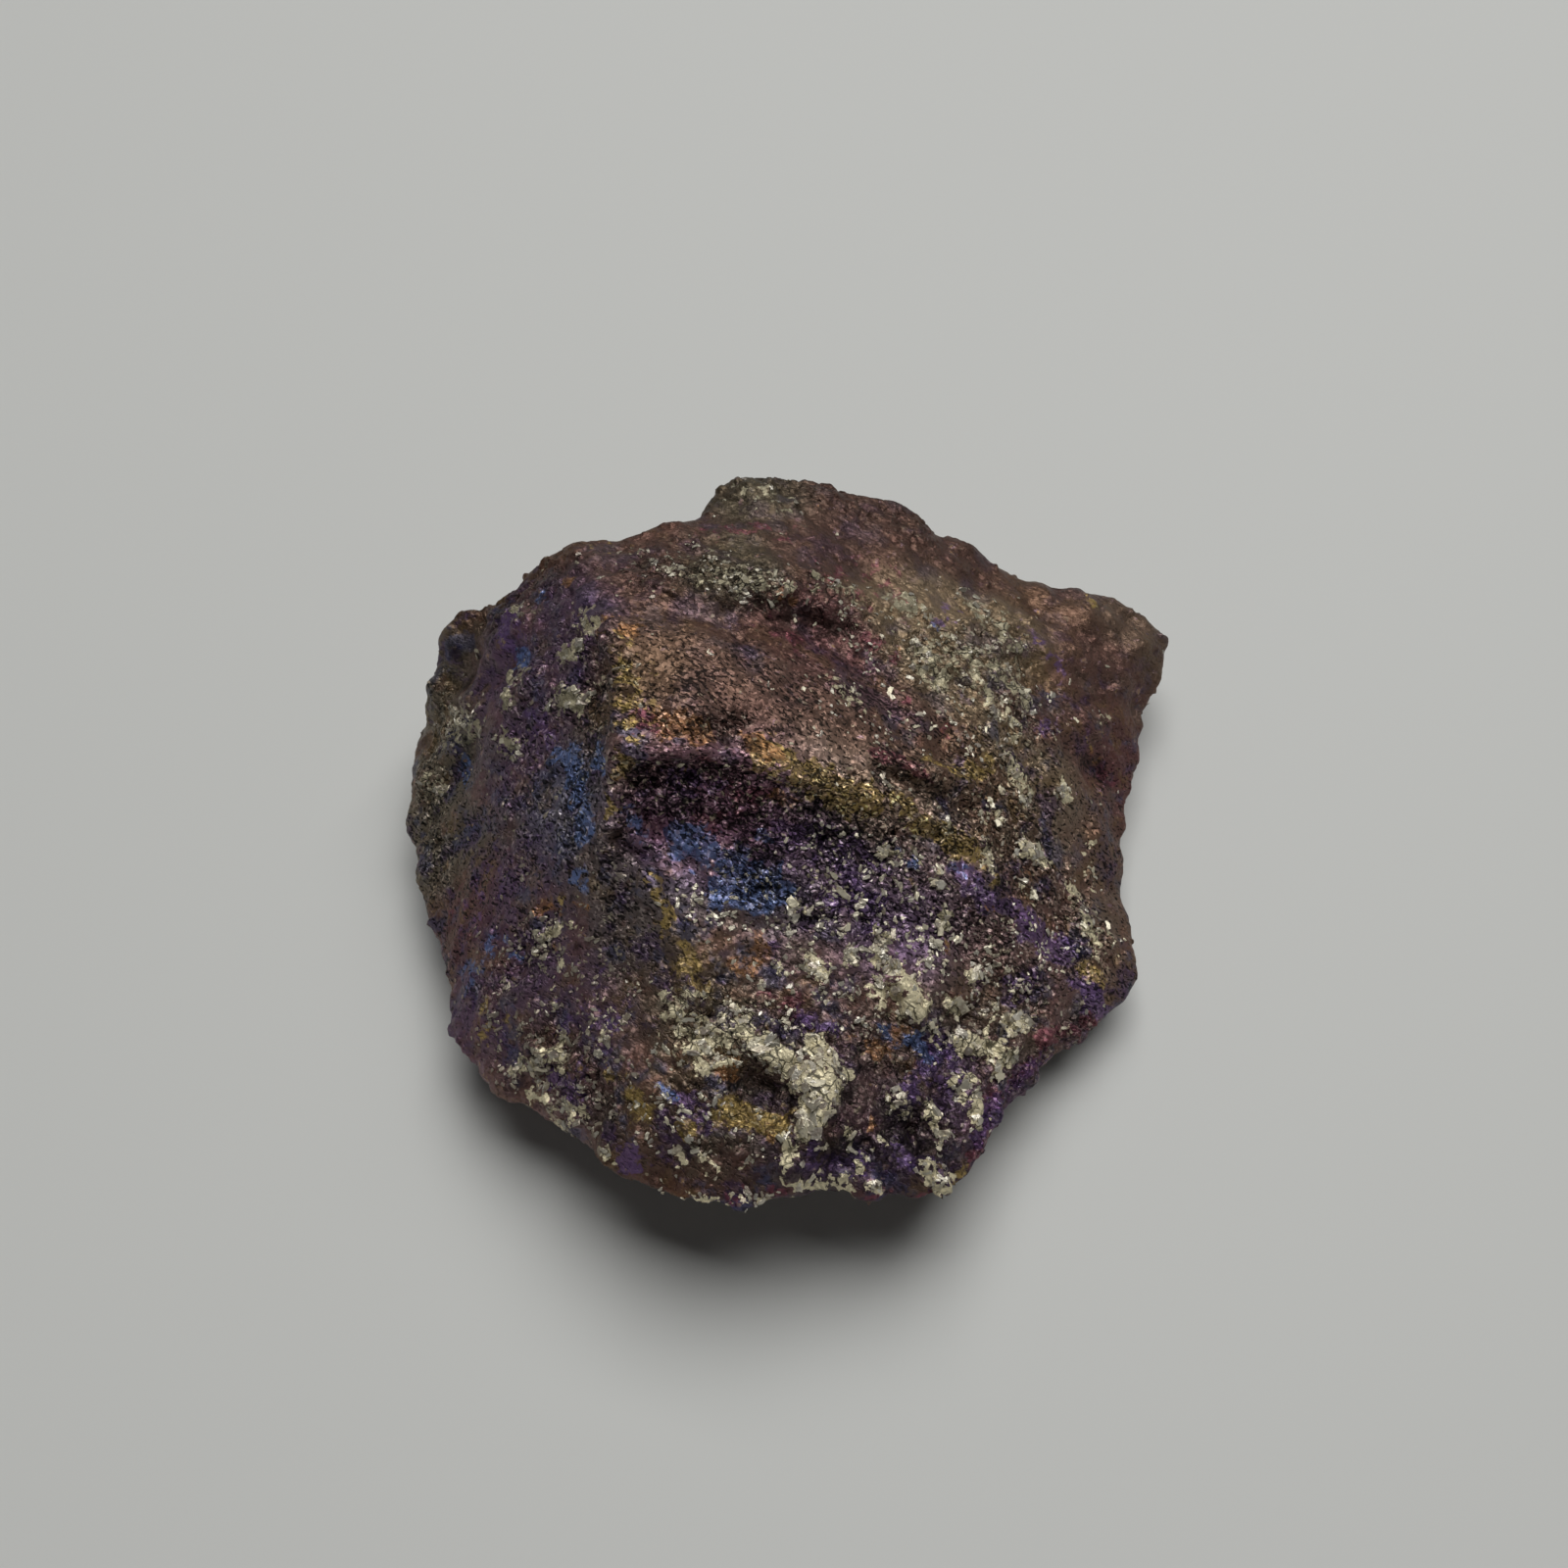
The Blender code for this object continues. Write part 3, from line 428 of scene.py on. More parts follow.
def ground_tint(spots, facing):
    """The ground's colour at each spot: the tints of the nearest places blended, and two mixed underneath."""
    plan = spots[:, :2]
    gaps = np.stack([((plan - np.array(place)) ** 2).sum(1) for place, _ in GROUND], axis=1)
    weights = np.exp(-gaps / GROUND_REACH ** 2) + 1e-6
    shown = weights @ np.array([tint for _, tint in GROUND]) / weights.sum(1)[:, None]
    mix = step(-0.4, 0.4, grid(spots, HIDDEN_MIX_SIZE, (2, 6, 3)))[:, None]
    hidden = np.array(MAUVE) * mix + np.array(MOSS) * (1 - mix)
    return shown * facing[:, None] + hidden * (1 - facing[:, None])


def furrows(point):
    """Fine grooves that run down the steep left side, and slantwise over the right of the apron."""
    x, y, z = point
    left = max(0.0, min(1.0, (-10.0 - x) / 3.0))
    right = max(0.0, min(1.0, (x - 3.0) / 4.0)) * max(0.0, min(1.0, (-9.0 - y) / 4.0))
    down = noise.noise(Vector((0.25 * x + 0.2 * y, 1.9 * (y - 0.55 * x), 0.3 * z)))
    slant = noise.noise(Vector((1.6 * (x - 0.6 * y), 0.3 * (0.6 * x + y), 0.3 * z)))
    return 0.13 * left * down + 0.12 * right * slant


def fracture(point, bright, rough):
    """How far the surface stands out at a point, in millimetres. Bright ore stands up as a blocky crust."""
    rough *= 1 - 0.6 * bright
    out = (0.08 + 0.10 * rough) * noise.fractal(point / SWELL, 0.9, 2.1, 3)

    # Flat shards, each leaning its own way, with a groove between them.
    place = point / SHARD
    gaps, middles = noise.voronoi(place)
    lean = Vector([noise.noise(middles[0] * turn) for turn in (3.1, 4.3, 5.7)])
    out += (0.16 + 0.50 * rough + 0.20 * bright) * lean.dot(place - middles[0])
    out -= (0.03 + 0.20 * rough) * max(0.0, 1 - (gaps[1] - gaps[0]) / 0.22)

    # Rounded knobs and grit on them.
    small, _ = noise.voronoi(point / KNOB)
    out += (0.03 + 0.20 * rough + 0.06 * bright) * (0.45 - small[0])
    out += (0.02 + 0.06 * rough) * noise.noise(point / GRIT)

    # The raised crust of the bright ore, and the pits.
    crust = bright + 0.9 * noise.noise(point / CRUST_PATCH) - 0.45
    out += 0.26 * max(0.0, min(1.0, 5.0 * crust))
    pit = noise.noise(point / PIT) + 0.35 * noise.noise(point / PIT_FIELD)
    out -= (0.25 + 0.60 * rough) * max(0.0, pit - 0.44 + 0.18 * rough)
    return out + furrows(point)


def as_object(form, name):
    """Puts a form into the scene as an object, and frees the form."""
    made = bpy.data.objects.new(name, bpy.data.meshes.new(name))
    form.to_mesh(made.data)
    form.free()
    bpy.context.collection.objects.link(made)
    return made


def melted_copy(node):
    """The CAD node's form in small even faces, with its facets melted together."""
    form = bmesh.new()
    form.from_mesh(node.data)
    bmesh.ops.remove_doubles(form, verts=form.verts, dist=1e-6)
    holder = as_object(form, "holder")
    remesh = holder.modifiers.new("even", "REMESH")
    remesh.mode = "VOXEL"
    remesh.voxel_size = FACE_SIZE
    form = bmesh.new()
    form.from_object(holder, bpy.context.evaluated_depsgraph_get())
    bpy.data.objects.remove(holder)
    for _ in range(MELTING_PASSES):
        bmesh.ops.smooth_vert(
            form, verts=form.verts, factor=0.5, use_axis_x=True, use_axis_y=True, use_axis_z=True,
        )
    return form


def thinned(form, name):
    """The form as an object's mesh of few enough triangles, larger where the surface is calm."""
    bmesh.ops.triangulate(form, faces=form.faces)
    share = MOST_TRIANGLES / len(form.faces)
    holder = as_object(form, "holder")
    decimate = holder.modifiers.new("thin", "DECIMATE")
    decimate.ratio = min(1.0, share)
    mesh = bpy.data.meshes.new_from_object(holder.evaluated_get(bpy.context.evaluated_depsgraph_get()))
    bpy.data.objects.remove(holder)
    mesh.name = name
    return mesh


form = melted_copy(solid)
plain = bpy.data.meshes.new("plain")
form.to_mesh(plain)
spots, normals, links = facts(plain)
facing = shown_side(spread(normals, links, BROAD_PASSES))
around = strayed(spots)
bright = cover(around, SILVER, core=SILVER_CORE) * facing
rough = roughness_of_break(spots, facing)
cleft = sum(
    depth * cover(spots + 0.3 * (around - spots), [(points, reach, 1.0)])
    for points, reach, depth in CLEFTS
)
crest = sum(
    height * cover(spots + 0.6 * (around - spots), [(points, reach, 1.0)], core=0.0, rim=1.0) ** 1.5
    for points, reach, height in CRESTS
)

# The break dies away round the foot, which stays flat on the table.
calm = 1.0 - 0.9 * step(0.0, 0.6, -normals[:, 2]) * (1 - step(0.2, 1.0, spots[:, 2]))
for i, vertex in enumerate(form.verts):
    rise = calm[i] * fracture(Vector(spots[i]), bright[i], rough[i]) + crest[i] - cleft[i]
    vertex.co += Vector(normals[i]) * rise * MM
    vertex.co.z = max(0.0, vertex.co.z)
bpy.data.meshes.remove(plain)

ore = bpy.data.objects.new("ore_lump", thinned(form, "ore_lump"))
bpy.context.collection.objects.link(ore)
ore.data.shade_smooth()

spots, normals, links = facts(ore.data)
facing = shown_side(spread(normals, links, BROAD_PASSES))
shares = tarnish(spots, facing)
mixed = 1 - cover(spots, EVEN) * facing


def keep(mesh, name, red, green, blue):
    """Stores three numbers for each point of the mesh as one colour attribute."""
    layer = mesh.attributes.new(name, "FLOAT_COLOR", "POINT")
    layer.data.foreach_set("color", np.stack([red, green, blue, np.ones(len(red))], axis=1).ravel())


keep(ore.data, "ground", *ground_tint(spots, facing).T)
keep(ore.data, "warm", shares["gold"], shares["orange"], shares["red"])
keep(ore.data, "cool", shares["blue"], shares["violet"], shares["stain_and_shade"])
keep(ore.data, "form", shares["silver"], mixed, roughness_of_break(spots, facing))


class Wire:
    """An output in a finish. Arithmetic on wires adds the Math nodes for it."""

    def __init__(self, finish, socket):
        self.finish = finish
        self.socket = socket

    def math(self, operation, other):
        """One Math node on this wire and a number or another wire."""
        values = {"Value": self, "Value_001": other}
        return self.finish.node("ShaderNodeMath", {"operation": operation}, values)["Value"]

    def __add__(self, other):
        return self.math("ADD", other)

    __radd__ = __add__

    def __mul__(self, other):
        return self.math("MULTIPLY", other)

    __rmul__ = __mul__

    def __sub__(self, other):
        return self.math("SUBTRACT", other)

    def __rsub__(self, other):
        return (self * -1) + other


class Finish:
    """The node tree of a material or of the room's light, to which each call adds one node."""

    def __init__(self, holder):
        holder.use_nodes = True
        self.tree = holder.node_tree
        self.tree.nodes.clear()

    def node(self, kind, settings=None, values=None):
        """Adds a node, makes its settings, then fills its sockets. Gives its outputs by their identifiers."""
        made = self.tree.nodes.new(kind)
        for setting, value in (settings or {}).items():
            setattr(made, setting, value)
        sockets = {socket.identifier: socket for socket in made.inputs}
        for name, value in (values or {}).items():
            if isinstance(value, Wire):
                self.tree.links.new(value.socket, sockets[name])
            else:
                sockets[name].default_value = value
        return {socket.identifier: Wire(self, socket) for socket in made.outputs}

    def blend(self, share, start, end):
        """One colour turning into another as the share goes from 0 to 1."""
        ends = {"Factor_Float": share, "A_Color": self.colour(start), "B_Color": self.colour(end)}
        return self.node("ShaderNodeMix", {"data_type": "RGBA"}, ends)["Result_Color"]

    def colour(self, value):
        """A wire as it is, or a plain triple as a full colour."""
        return value if isinstance(value, Wire) else (*value, 1.0)

    def vector(self, operation, first, second):
        """Vector Math on two wires or plain triples."""
        values = {"Vector": first, "Vector_001": second}
        return self.node("ShaderNodeVectorMath", {"operation": operation}, values)

    def scaled(self, vector, factor):
        """A vector or colour times a number or wire."""
        values = {"Vector": vector, "Scale": factor}
        return self.node("ShaderNodeVectorMath", {"operation": "SCALE"}, values)["Vector"]

    def noise(self, place, size, detail=2.0, roughness=0.5):
        """Noise with swells of this size in millimetres."""
        values = {"Vector": place, "Scale": 1 / size, "Detail": detail, "Roughness": roughness}
        return self.node("ShaderNodeTexNoise", None, values)

    def cells(self, place, size):
        """Irregular grains of this size in millimetres."""
        return self.node("ShaderNodeTexVoronoi", None, {"Vector": place, "Scale": 1 / size})

    def ramp(self, value, low, high):
        """0 below low, 1 above high, and a smooth rise between."""
        values = {"Value": value, "From Min": low, "From Max": high}
        return self.node("ShaderNodeMapRange", {"interpolation_type": "SMOOTHSTEP"}, values)["Result"]

    def parts(self, vector):
        """The three numbers of a vector or colour."""
        found = self.node("ShaderNodeSeparateXYZ", None, {"Vector": vector})
        return found["X"], found["Y"], found["Z"]

    def attribute(self, name):
        """The three numbers kept on the mesh under this name."""
        return self.node("ShaderNodeAttribute", {"attribute_name": name})["Vector"]


# The colours of the films and of the clean ore, and then the strength and colour of the five that lie mixed
# where the ground isn't even.
RED_FILM = (0.22, 0.065, 0.085)
VIOLET_FILM = (0.15, 0.085, 0.23)
BLUE_FILM = (0.13, 0.20, 0.42)
GOLD_FILM = (0.43, 0.305, 0.100)
ORANGE_FILM = (0.35, 0.17, 0.070)
CLEAN_ORE = (0.71, 0.63, 0.42)
# Painted sheen: a pale neutral added to the colour of the paler grains as their highlights.
PAINTED_GRAIN_SHEEN = (0.075, 0.068, 0.062)
# Painted glints: a bright colour added to single grains as their highlights.
PAINTED_GLINT_LIGHT = (0.34, 0.31, 0.26)
MIXED_PURPLE = (0.70, (0.090, 0.050, 0.138))
MIXED_BRONZE = (0.46, (0.205, 0.130, 0.045))
MIXED_BLUE = (0.55, (0.060, 0.080, 0.165))
MIXED_RUST = (0.38, (0.190, 0.080, 0.056))
MIXED_GREY = (0.34, (0.150, 0.128, 0.088))

# The sizes of the grains, of the blocks that they lie in, of the painted glints and of the net of cracks.
GRAIN_SIZE = 0.26
BLOCK_SIZE = 0.62
PAINTED_GLINT_SIZE = 0.21
CRACK_SIZE = 0.75
MIDDLE = (0.5, 0.5, 0.5)

ore.data.materials.append(bpy.data.materials.new("ore_tarnish"))
finish = Finish(ore.data.materials[0])
place = finish.scaled(finish.node("ShaderNodeTexCoord")["Object"], 1 / MM)

# Places bent a little, so that no grain is straight, and drawn out along the way that the ore parts.
drift = finish.vector("SUBTRACT", finish.noise(place, 0.5)["Color"], MIDDLE)["Vector"]
bent = finish.vector("ADD", place, finish.scaled(drift, 0.4))["Vector"]
along = finish.vector("DOT_PRODUCT", bent, (0.42, -0.26, 0.10))["Value"]
across = finish.vector("DOT_PRODUCT", bent, (0.52, 0.85, 0.30))["Value"]
upward = finish.vector("DOT_PRODUCT", bent, (0.0, 0.0, 0.9))["Value"]
drawn = finish.node("ShaderNodeCombineXYZ", None, {"X": along, "Y": across, "Z": upward})["Vector"]

grain = finish.cells(bent, GRAIN_SIZE)
block = finish.cells(bent, BLOCK_SIZE)
grain_a, grain_b, grain_c = finish.parts(grain["Color"])
block_a, block_b, _ = finish.parts(block["Color"])
mottle = finish.noise(place, 0.9, 3.0, 0.6)["Fac"]
cloud = finish.noise(place, 2.6, 2.0)["Fac"]
cluster = finish.noise(place, 0.8, 1.0)["Fac"]
blotch = finish.noise(bent, 1.1, 3.0, 0.55)["Fac"]
dash = finish.noise(drawn, 0.20, 1.0)["Fac"]
seam = finish.node(
    "ShaderNodeTexVoronoi", {"feature": "DISTANCE_TO_EDGE"}, {"Vector": bent, "Scale": 1 / CRACK_SIZE},
)["Distance"]

gold, orange, red = finish.parts(finish.attribute("warm"))
blue, violet, stain_and_shade = finish.parts(finish.attribute("cool"))
silver, mixed, coarse = finish.parts(finish.attribute("form"))


def patch(share, chance):
    """How far a colour shows on each grain: in ragged patches that thin out at its strokes' edges."""
    return finish.ramp(1.10 * share + 2.2 * (blotch - 0.5) + 0.20 * (chance - 0.5), 0.34, 0.66)


tint = finish.attribute("ground")
hues = finish.parts(finish.noise(bent, 2.6, 3.0, 0.55)["Color"])
for hue, chance, (share, colour) in (
    (hues[0], grain_a, MIXED_PURPLE), (hues[1], grain_b, MIXED_BRONZE), (hues[2], grain_c, MIXED_BLUE),
    (1 - hues[0], grain_c, MIXED_RUST), (1 - hues[1], grain_a, MIXED_GREY),
):
    tint = finish.blend(share * mixed * finish.ramp(hue + 0.06 * (chance - 0.5), 0.53, 0.66), tint, colour)
tint = finish.blend(0.75 * patch(red, grain_a), tint, RED_FILM)
tint = finish.blend(0.70 * patch(violet, grain_c), tint, VIOLET_FILM)
tint = finish.blend((0.55 + 0.4 * grain_b) * patch(blue, grain_a), tint, BLUE_FILM)
tint = finish.blend((0.50 + 0.5 * grain_b) * patch(gold, grain_c), tint, GOLD_FILM)
tint = finish.blend((0.45 + 0.5 * grain_b) * patch(orange, grain_a), tint, ORANGE_FILM)

# The back and the front rim are more worn than the middle: grain differs less from grain there, and the clean
# ore at the back and left is duller. Where the break is coarse, single grains are paler or darker, the paler
# ones with a painted sheen added, and some carry painted glints, bright specks added to the colour.
rightward, backward, _ = finish.parts(place)
far = finish.ramp(backward, 2.0, 13.0)
dull = far.math("MAXIMUM", finish.ramp(-1 * rightward, 12.0, 16.0) * finish.ramp(backward, -10.0, -4.0))
worn = far + 0.75 * finish.ramp(-1 * backward, 10.0, 17.0)
vary = (1 - 0.7 * worn) * ((0.45 + 0.5 * coarse) * (grain_b - 0.5) + 1.4 * coarse * (grain_c - 0.40))
tint = finish.scaled(tint, 1.05 + 0.55 * vary)
tint = finish.vector("ADD", tint, finish.scaled(PAINTED_GRAIN_SHEEN, vary.math("MAXIMUM", 0.0)))["Vector"]
painted_glint = finish.ramp(finish.parts(finish.cells(bent, PAINTED_GLINT_SIZE)["Color"])[0], 0.78, 0.90) * (1 - 0.8 * worn)
tint = finish.scaled(tint, 1 + (0.15 * mixed + coarse) * (1.2 * painted_glint - 0.25))
tint = finish.vector("ADD", tint, finish.scaled(PAINTED_GLINT_LIGHT, (0.10 * mixed + coarse) * painted_glint))["Vector"]

# Clean ore shows as single bright grains, and as crusts of blocks that break up at their edges.
spark = finish.ramp(0.15 * coarse + 0.30 * silver + 0.4 * (cluster - 0.5) - 0.04 - (1 - grain_a), -0.02, 0.06)
spark = spark * (1 - 0.7 * worn)
crust = silver * (1.40 - 0.45 * far) + 1.3 * (mottle - 0.5) + 0.8 * (cluster - 0.5)
fleck = finish.ramp(crust - 0.18 - 0.42 * block_a - 0.34 * grain_a, -0.02, 0.10)
clean = finish.scaled(CLEAN_ORE, (0.70 + 0.35 * block_b + 0.35 * grain_b) * (1 - 0.50 * dull))
tint = finish.blend(0.6 * spark, tint, clean)
tint = finish.blend(fleck, tint, clean)
bare = spark.math("MAXIMUM", fleck)

# Darkening of the colour: the dark stain together with painted shade in the clefts and under the lip, pores
# painted black as shade in pits, and painted shade along the net of fine cracks.
stain_and_shade_darkening = finish.ramp(stain_and_shade + 0.6 * (mottle - 0.5) + 0.3 * (grain_c - 0.5), 0.2, 0.8)
shaded_pore = finish.ramp(dash + 0.08 * coarse + 0.35 * (cloud - 0.5), 0.55, 0.63)
shaded_pore = shaded_pore * (1 - 0.6 * fleck) * (1 - 0.6 * worn)
cracked = finish.ramp(coarse + 0.5 * silver + 1.6 * (cluster - 0.5), 0.35, 0.9)
shaded_crack = (1 - finish.ramp(seam, 0.01, 0.08)) * cracked
tint = finish.scaled(tint, (1 - 0.60 * stain_and_shade_darkening) * (1 - 0.85 * shaded_pore) * (1 - 0.80 * shaded_crack))


def leaning(cell):
    """The height of flat faces, one on each cell, each leaning its own way."""
    lean = finish.vector("SUBTRACT", cell["Color"], MIDDLE)["Vector"]
    reach = finish.vector("SUBTRACT", bent, cell["Position"])["Vector"]
    return finish.vector("DOT_PRODUCT", lean, reach)["Value"]


facet = leaning(grain)
slab = leaning(block)
grit = finish.noise(drawn, 0.32, 1.0)["Fac"]
height = (0.50 + 0.70 * coarse) * (1 - 0.7 * fleck) * facet + (0.15 + 0.45 * coarse + 0.45 * fleck) * slab
height = height * (1 - 0.6 * worn)
height = height + 0.08 * mottle + (0.06 + 0.10 * coarse) * grit - 0.06 * shaded_pore - 0.07 * shaded_crack
relief = finish.node("ShaderNodeBump", None, {"Height": height, "Distance": MM, "Strength": 1.0})

surface = finish.node("ShaderNodeBsdfPrincipled", None, {
    "Base Color": tint,
    "Metallic": 0.85 - 0.45 * bare,
    "Roughness": 0.42 + 0.2 * grain_c,
    "Normal": relief["Normal"],
})
finish.node("ShaderNodeOutputMaterial", None, {"Surface": surface["BSDF"]})

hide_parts("chalcopyrite")
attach(ore, "root")


# The clean crystals. Untarnished ore stands out of the break as pale blocky crystals a few tenths of a
# millimetre across, half sunk in it and grown into each other. They lie thick in the bright crusts and thinly
# between them.

CRYSTAL_COUNT = 3200
CRYSTAL_BATCH = 200
CRYSTAL_RADIUS = (0.09, 0.50)

# The largest crystals, each with its place in plan and its radius, and strokes where small ones are strewn.
LARGEST = [
    (5.3, -6.6, 0.45), (6.1, -6.9, 0.35), (6.6, -6.7, 0.20), (7.5, -6.2, 0.25), (9, -6.3, 0.40),
    (2.6, -9.1, 0.45), (3.8, -9.6, 0.45), (0.6, -10.2, 0.42), (-0.4, -10.4, 0.60), (-0.2, -9.4, 0.20),
    (2.9, -10.9, 0.35), (4.3, -7.9, 0.28), (6.3, -7.9, 0.32), (5, -11.6, 0.45), (7, -11.3, 0.32),
    (7.9, -11.9, 0.45), (7.7, -10, 0.40), (7.8, -10.7, 0.35), (9.1, -9.8, 0.55), (10, -10.2, 0.45),
    (11.3, -11.6, 0.45), (6.5, -9.8, 0.28), (-6.6, -9.5, 0.35), (-7.6, -10.3, 0.30), (-5.4, -11, 0.25),
    (-0.8, -11.6, 0.35), (-6.5, -11.3, 0.28), (-11.2, -8.9, 0.40), (-4.2, -9.7, 0.20), (1.5, -0.3, 0.28),
    (5, 0.3, 0.22), (11.4, 2.3, 0.40), (13.8, 0.3, 0.42), (12.8, -0.8, 0.40), (12.2, -2.4, 0.35),
    (6, 5.5, 0.45), (7.8, 3.8, 0.45), (-2, 2.5, 0.20), (-5.6, 4.1, 0.25), (-16.4, -3.9, 0.30),
    (-19.6, -1.5, 0.22), (-18, -6, 0.30), (-18, -6.8, 0.30), (-11.4, -13.8, 0.35), (-11.4, -12.9, 0.25),
    (-12.6, -13, 0.25), (-10.8, -16.8, 0.35), (-13.2, -17.2, 0.35), (-12, -18, 0.40), (-13.5, -18.2, 0.40),
    (-15.6, -20.5, 0.40), (-8.6, -21.1, 0.30), (-8.6, -21.8, 0.30), (-2.6, -14.8, 0.40), (-4.2, -16, 0.35),
    (-3.7, -17, 0.35), (1, -19.2, 0.55), (1.4, -18.3, 0.45), (0.2, -22.8, 0.60), (1.4, -22.6, 0.60),
    (6.4, -14, 0.55), (7.4, -14.8, 0.50), (6.9, -15.5, 0.40), (9.4, -14.4, 0.35),
]
SCATTER = [
    ([(1, -7.4), (4, -8.5), (7, -8)], 2.6, 0.09), ([(0, -11), (4, -12.5), (9, -12)], 3.4, 0.15),
    ([(-20, -12), (-17, -17), (-14, -20)], 4.0, 0.12), ([(-15, -12), (-12, -18)], 3.4, 0.10),
    ([(-10, -17), (-8, -22), (-5, -25)], 3.6, 0.07), ([(-7, -10.6), (-2, -12)], 1.8, 0.16),
    ([(3, 3), (8, 3), (12, 5)], 2.6, 0.08), ([(6, 10), (12, 11), (16, 8)], 5.0, 0.04),
    ([(-3, -16), (3, -16)], 3.0, 0.10), ([(12, -14), (16, -9)], 3.0, 0.12),
    ([(-25, 8), (-22, 2)], 3.0, 0.04), ([(-4, 12), (-9, 13)], 3.0, 0.08),
]


def crystal(form, draw, place, normal, radius, flat):
    """Adds one blocky crystal to the form, tilted a little off its seat, or a flat slab lying on it."""
    lie = normal.to_track_quat("Z", "Y").to_matrix().to_4x4()
    lean = 0.45 - 0.2 * flat
    turn = Euler((draw.uniform(-lean, lean), draw.uniform(-lean, lean), draw.uniform(0, math.tau)))
    tilt = turn.to_matrix().to_4x4()
    thick = draw.uniform(0.35, 0.6) * (1 - 0.4 * flat)
    sides = Matrix.Diagonal((draw.uniform(0.9, 2.1), draw.uniform(0.7, 1.1), thick, 1.0))
    stand = Matrix.Translation(place + normal * radius * thick * draw.uniform(-0.6, 0.0))

    # A cube with its corners cut off, and each of the new corners then moved in or out.
    cube = bmesh.ops.create_cube(form, size=1.5)["verts"]
    corners = bmesh.ops.bevel(
        form, geom=cube, offset=0.62, offset_type="OFFSET", affect="VERTICES", segments=1, profile=0.5,
        material=-1,
    )["verts"]
    for corner in corners:
        corner.co *= draw.uniform(0.72, 1.20)
    bmesh.ops.transform(form, matrix=stand @ lie @ tilt @ sides @ Matrix.Scale(radius, 4), verts=corners)


# How likely each spot is to bear a crystal: most in the crusts, less along the strokes and hardly elsewhere,
# least of all on what faces down, and not at all at the foot.
draw = np.random.default_rng(21)
around = strayed(spots)
clumps = step(0.0, 0.35, grid(spots, 1.3, (4, 1, 7)))
crusts = shares["silver"] ** 1.5 * (1 - 0.7 * step(2, 13, spots[:, 1]))
wanted = 0.4 * crusts * (0.03 + clumps) + facing * cover(around, SCATTER, core=0.0) * (0.02 + clumps) + 0.0008
wanted *= step(0.6, 1.4, spots[:, 2]) * np.clip(1.2 + normals[:, 2], 0, 1)
chosen = draw.choice(len(spots), CRYSTAL_COUNT, replace=False, p=wanted / wanted.sum())
smallest, largest = CRYSTAL_RADIUS
radii = smallest + (largest - smallest) * draw.random(CRYSTAL_COUNT) ** 1.5 * (0.30 + 0.70 * crusts[chosen])

# Each of the largest is a cluster: one crystal at its place and two smaller ones beside it.
for lump, (x, y, radius) in enumerate(LARGEST):
    near = ((spots - on_top((x, y))) ** 2).sum(1).argsort()
    for share, i in ((0.72, 3 * lump), (0.50, 3 * lump + 1), (0.42, 3 * lump + 2)):
        chosen[i] = near[0] if share > 0.7 else near[draw.integers(2, 14)]
        radii[i] = share * radius

total = bmesh.new()
for first in range(0, CRYSTAL_COUNT, CRYSTAL_BATCH):
    form = bmesh.new()
    for one, radius in zip(chosen[first:first + CRYSTAL_BATCH], radii[first:first + CRYSTAL_BATCH]):
        crystal(form, draw, Vector(spots[one]) * MM, Vector(normals[one]), radius * MM, crusts[one])
    batch = bpy.data.meshes.new("batch")
    form.to_mesh(batch)
    form.free()
    total.from_mesh(batch)
    bpy.data.meshes.remove(batch)
crystals = as_object(total, "clean_crystals")

# Three lots for each crystal: how pale it is, how yellow, and how much tarnish films it. The largest are the
# palest. Those at the back are duller, and most of those on the left, outside the crusts, are filmed.
corners_each = len(crystals.data.vertices) // CRYSTAL_COUNT
lots = draw.random((3, CRYSTAL_COUNT))
lots[0, :3 * len(LARGEST)] = 1.0
lots[0] *= 1 - 0.6 * step(2, 13, spots[chosen, 1])
stray = (1 - np.clip(1.5 * crusts[chosen], 0, 1)) * step(-7, -11, spots[chosen, 0])
lots[0] *= 1 - 0.8 * stray
lots[2] = np.maximum(lots[2], 0.9 * stray)
keep(crystals.data, "lot", *lots.repeat(corners_each, axis=1))

GREY_ORE = (0.44, 0.41, 0.35)
YELLOW_ORE = (0.58, 0.53, 0.39)
BROWN_FILM = (0.16, 0.10, 0.08)
crystals.data.materials.append(bpy.data.materials.new("clean_ore"))
clean_finish = Finish(crystals.data.materials[0])
place = clean_finish.scaled(clean_finish.node("ShaderNodeTexCoord")["Object"], 1 / MM)
lot_a, lot_b, lot_c = clean_finish.parts(clean_finish.attribute("lot"))
film = clean_finish.ramp(clean_finish.noise(place, 0.35)["Fac"] + 0.5 * (lot_c - 0.5), 0.50, 0.75)
pale = clean_finish.blend(lot_b, GREY_ORE, YELLOW_ORE)
tint = clean_finish.blend(0.55 * film, clean_finish.scaled(pale, 0.75 + 0.8 * lot_a), BROWN_FILM)
relief = clean_finish.node("ShaderNodeBump", None, {
    "Height": 0.04 * clean_finish.noise(place, 0.16)["Fac"], "Distance": MM, "Strength": 1.0,
})
surface = clean_finish.node("ShaderNodeBsdfPrincipled", None, {
    "Base Color": tint,
    "Metallic": 0.55,
    "Roughness": 0.34 + 0.2 * lot_b,
    "Normal": relief["Normal"],
})
clean_finish.node("ShaderNodeOutputMaterial", None, {"Surface": surface["BSDF"]})

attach(crystals, "root")


# The table that the lump lies on. It is a smooth pale grey board with a satin finish, made as one flat sheet
# so wide that no edge of it is in sight.

TABLE_HALF = 1.5
PALE_GREY = (0.645, 0.65, 0.624, 1.0)
table_form = bmesh.new()
bmesh.ops.create_grid(table_form, x_segments=1, y_segments=1, size=TABLE_HALF)
table = as_object(table_form, "table")

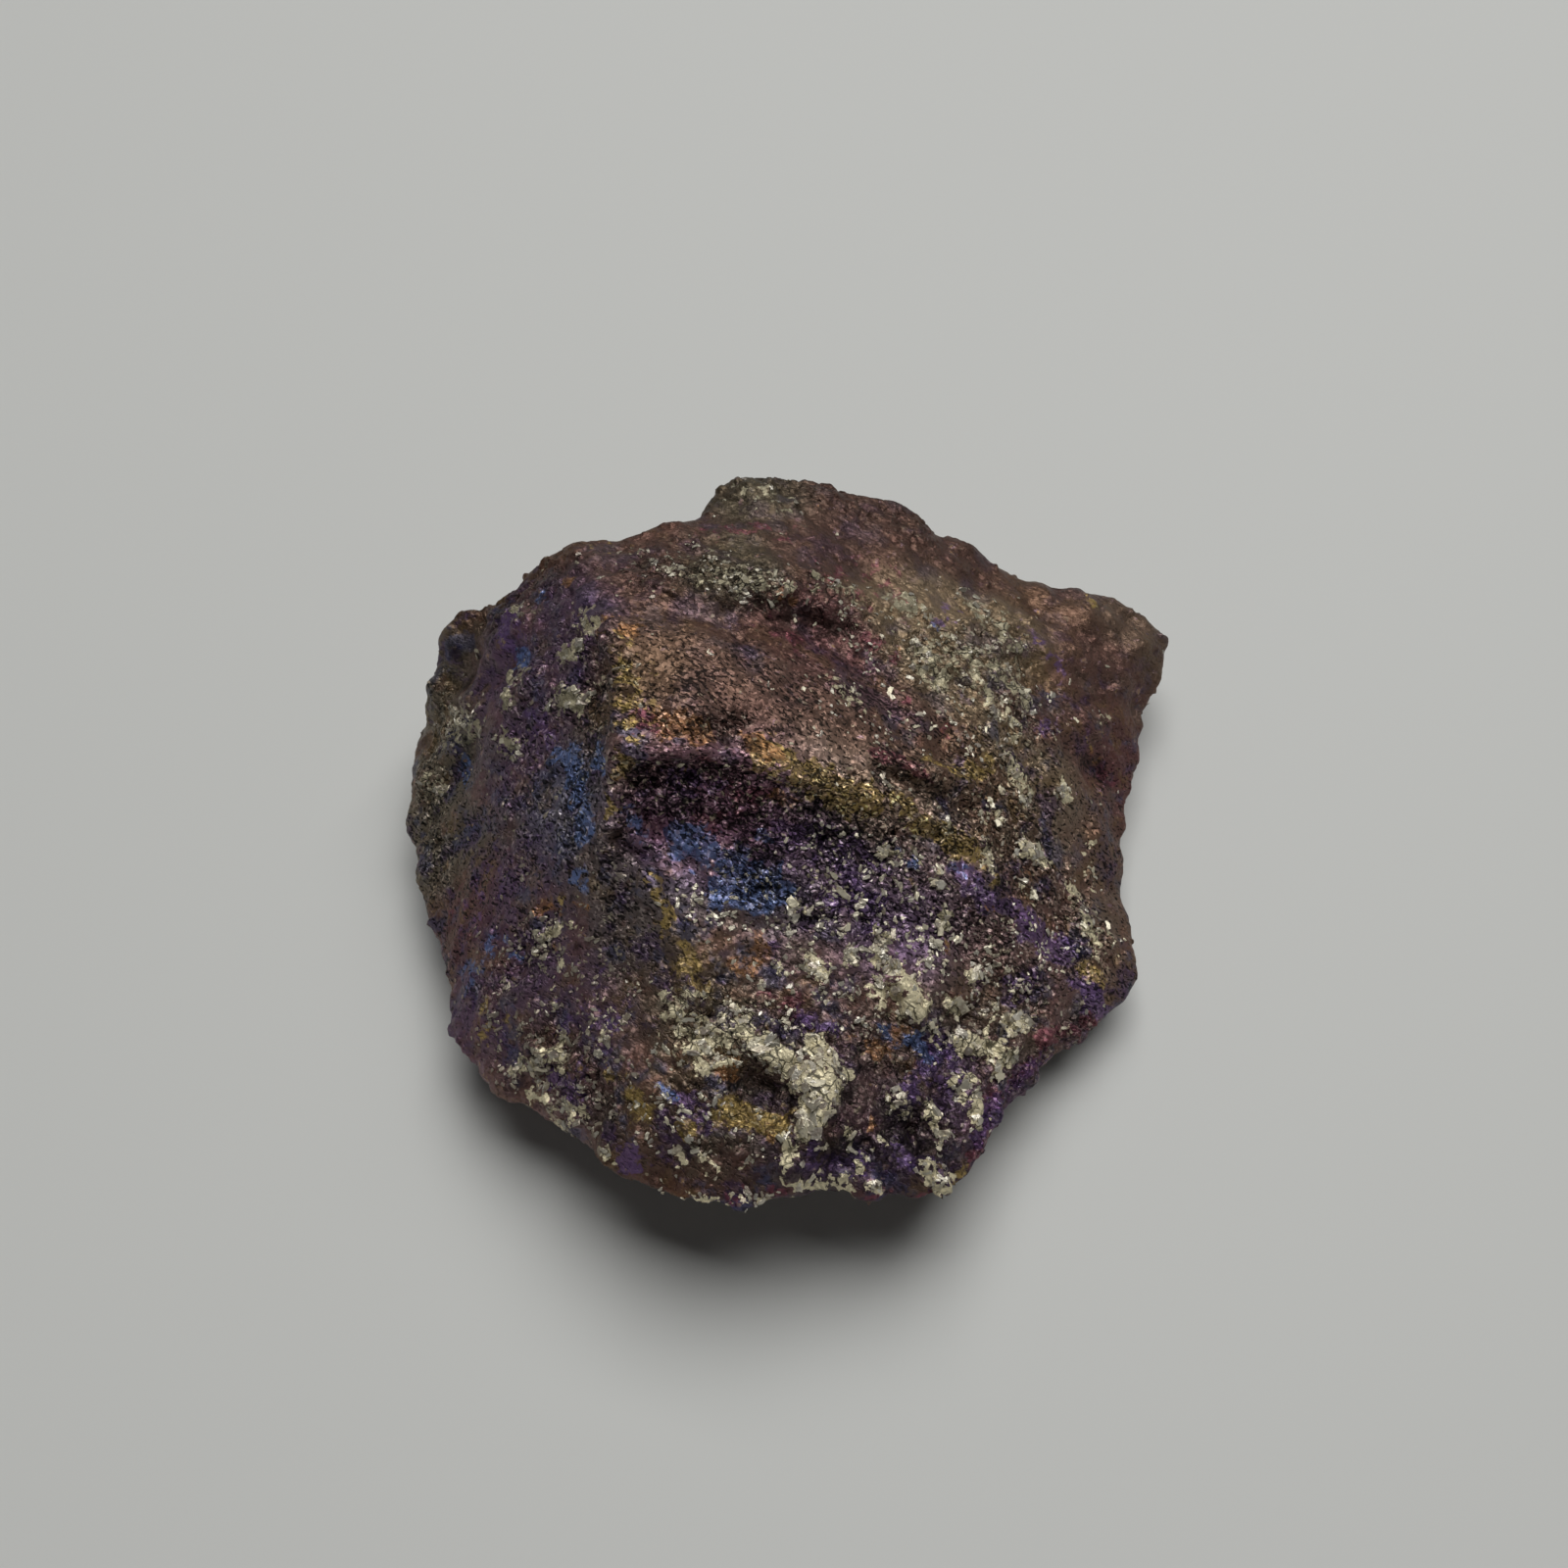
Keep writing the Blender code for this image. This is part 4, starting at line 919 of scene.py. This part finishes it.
table.data.materials.append(bpy.data.materials.new("pale_board"))
board = Finish(table.data.materials[0])
board_surface = board.node("ShaderNodeBsdfPrincipled", None, {
    "Base Color": PALE_GREY, "Roughness": 0.55, "Specular IOR Level": 0.3,
})
board.node("ShaderNodeOutputMaterial", None, {"Surface": board_surface["BSDF"]})


# The light. A wide soft panel hangs above and behind the lump, a little to its right. The room round it is
# dim and pale, and lights the lump only from low down, most of all from the front.

PANEL_SIZE = 1.06
PANEL_PLACE = Vector((0.16, 0.50, 1.08))
PANEL_POWER = 13.4
ROOM_COLOUR = (0.97, 0.98, 1.0, 1.0)
panel_data = bpy.data.lights.new("panel", "AREA")
panel_data.size = PANEL_SIZE
panel_data.energy = PANEL_POWER
panel = bpy.data.objects.new("panel", panel_data)
bpy.context.collection.objects.link(panel)
panel.location = PANEL_PLACE
panel.rotation_mode = "QUATERNION"
panel.rotation_quaternion = (-PANEL_PLACE).to_track_quat("-Z", "Y")

bpy.context.scene.world = bpy.data.worlds.new("room")
room = Finish(bpy.context.scene.world)
_, backward, upward = room.parts(room.node("ShaderNodeTexCoord")["Generated"])
walls = (1 - room.ramp(upward, 0.08, 0.45)) * (0.6 - 0.4 * backward)
glow = room.node("ShaderNodeBackground", None, {"Color": ROOM_COLOUR, "Strength": 0.01 + 0.62 * walls})
room.node("ShaderNodeOutputWorld", None, {"Surface": glow["Background"]})
bpy.context.scene.view_settings.view_transform = "Standard"


# The camera. It looks down at the lump from close in front and above. It has the wide field of a small lens,
# and everything is in focus.

LENS_PLACE = Vector((-1.0355, -54.626, 100.757)) * MM
DOWNWARD = math.radians(58)
FIELD = math.radians(54)
SENSOR = 36
camera_data = bpy.data.cameras.new("camera")
camera_data.sensor_width = SENSOR
camera_data.lens = 0.5 * SENSOR / math.tan(FIELD / 2)
camera_data.clip_start = 0.005
camera = bpy.data.objects.new("camera", camera_data)
bpy.context.collection.objects.link(camera)
camera.location = LENS_PLACE
camera.rotation_mode = "QUATERNION"
camera.rotation_quaternion = Vector((0, math.cos(DOWNWARD), -math.sin(DOWNWARD))).to_track_quat("-Z", "Y")
bpy.context.scene.camera = camera
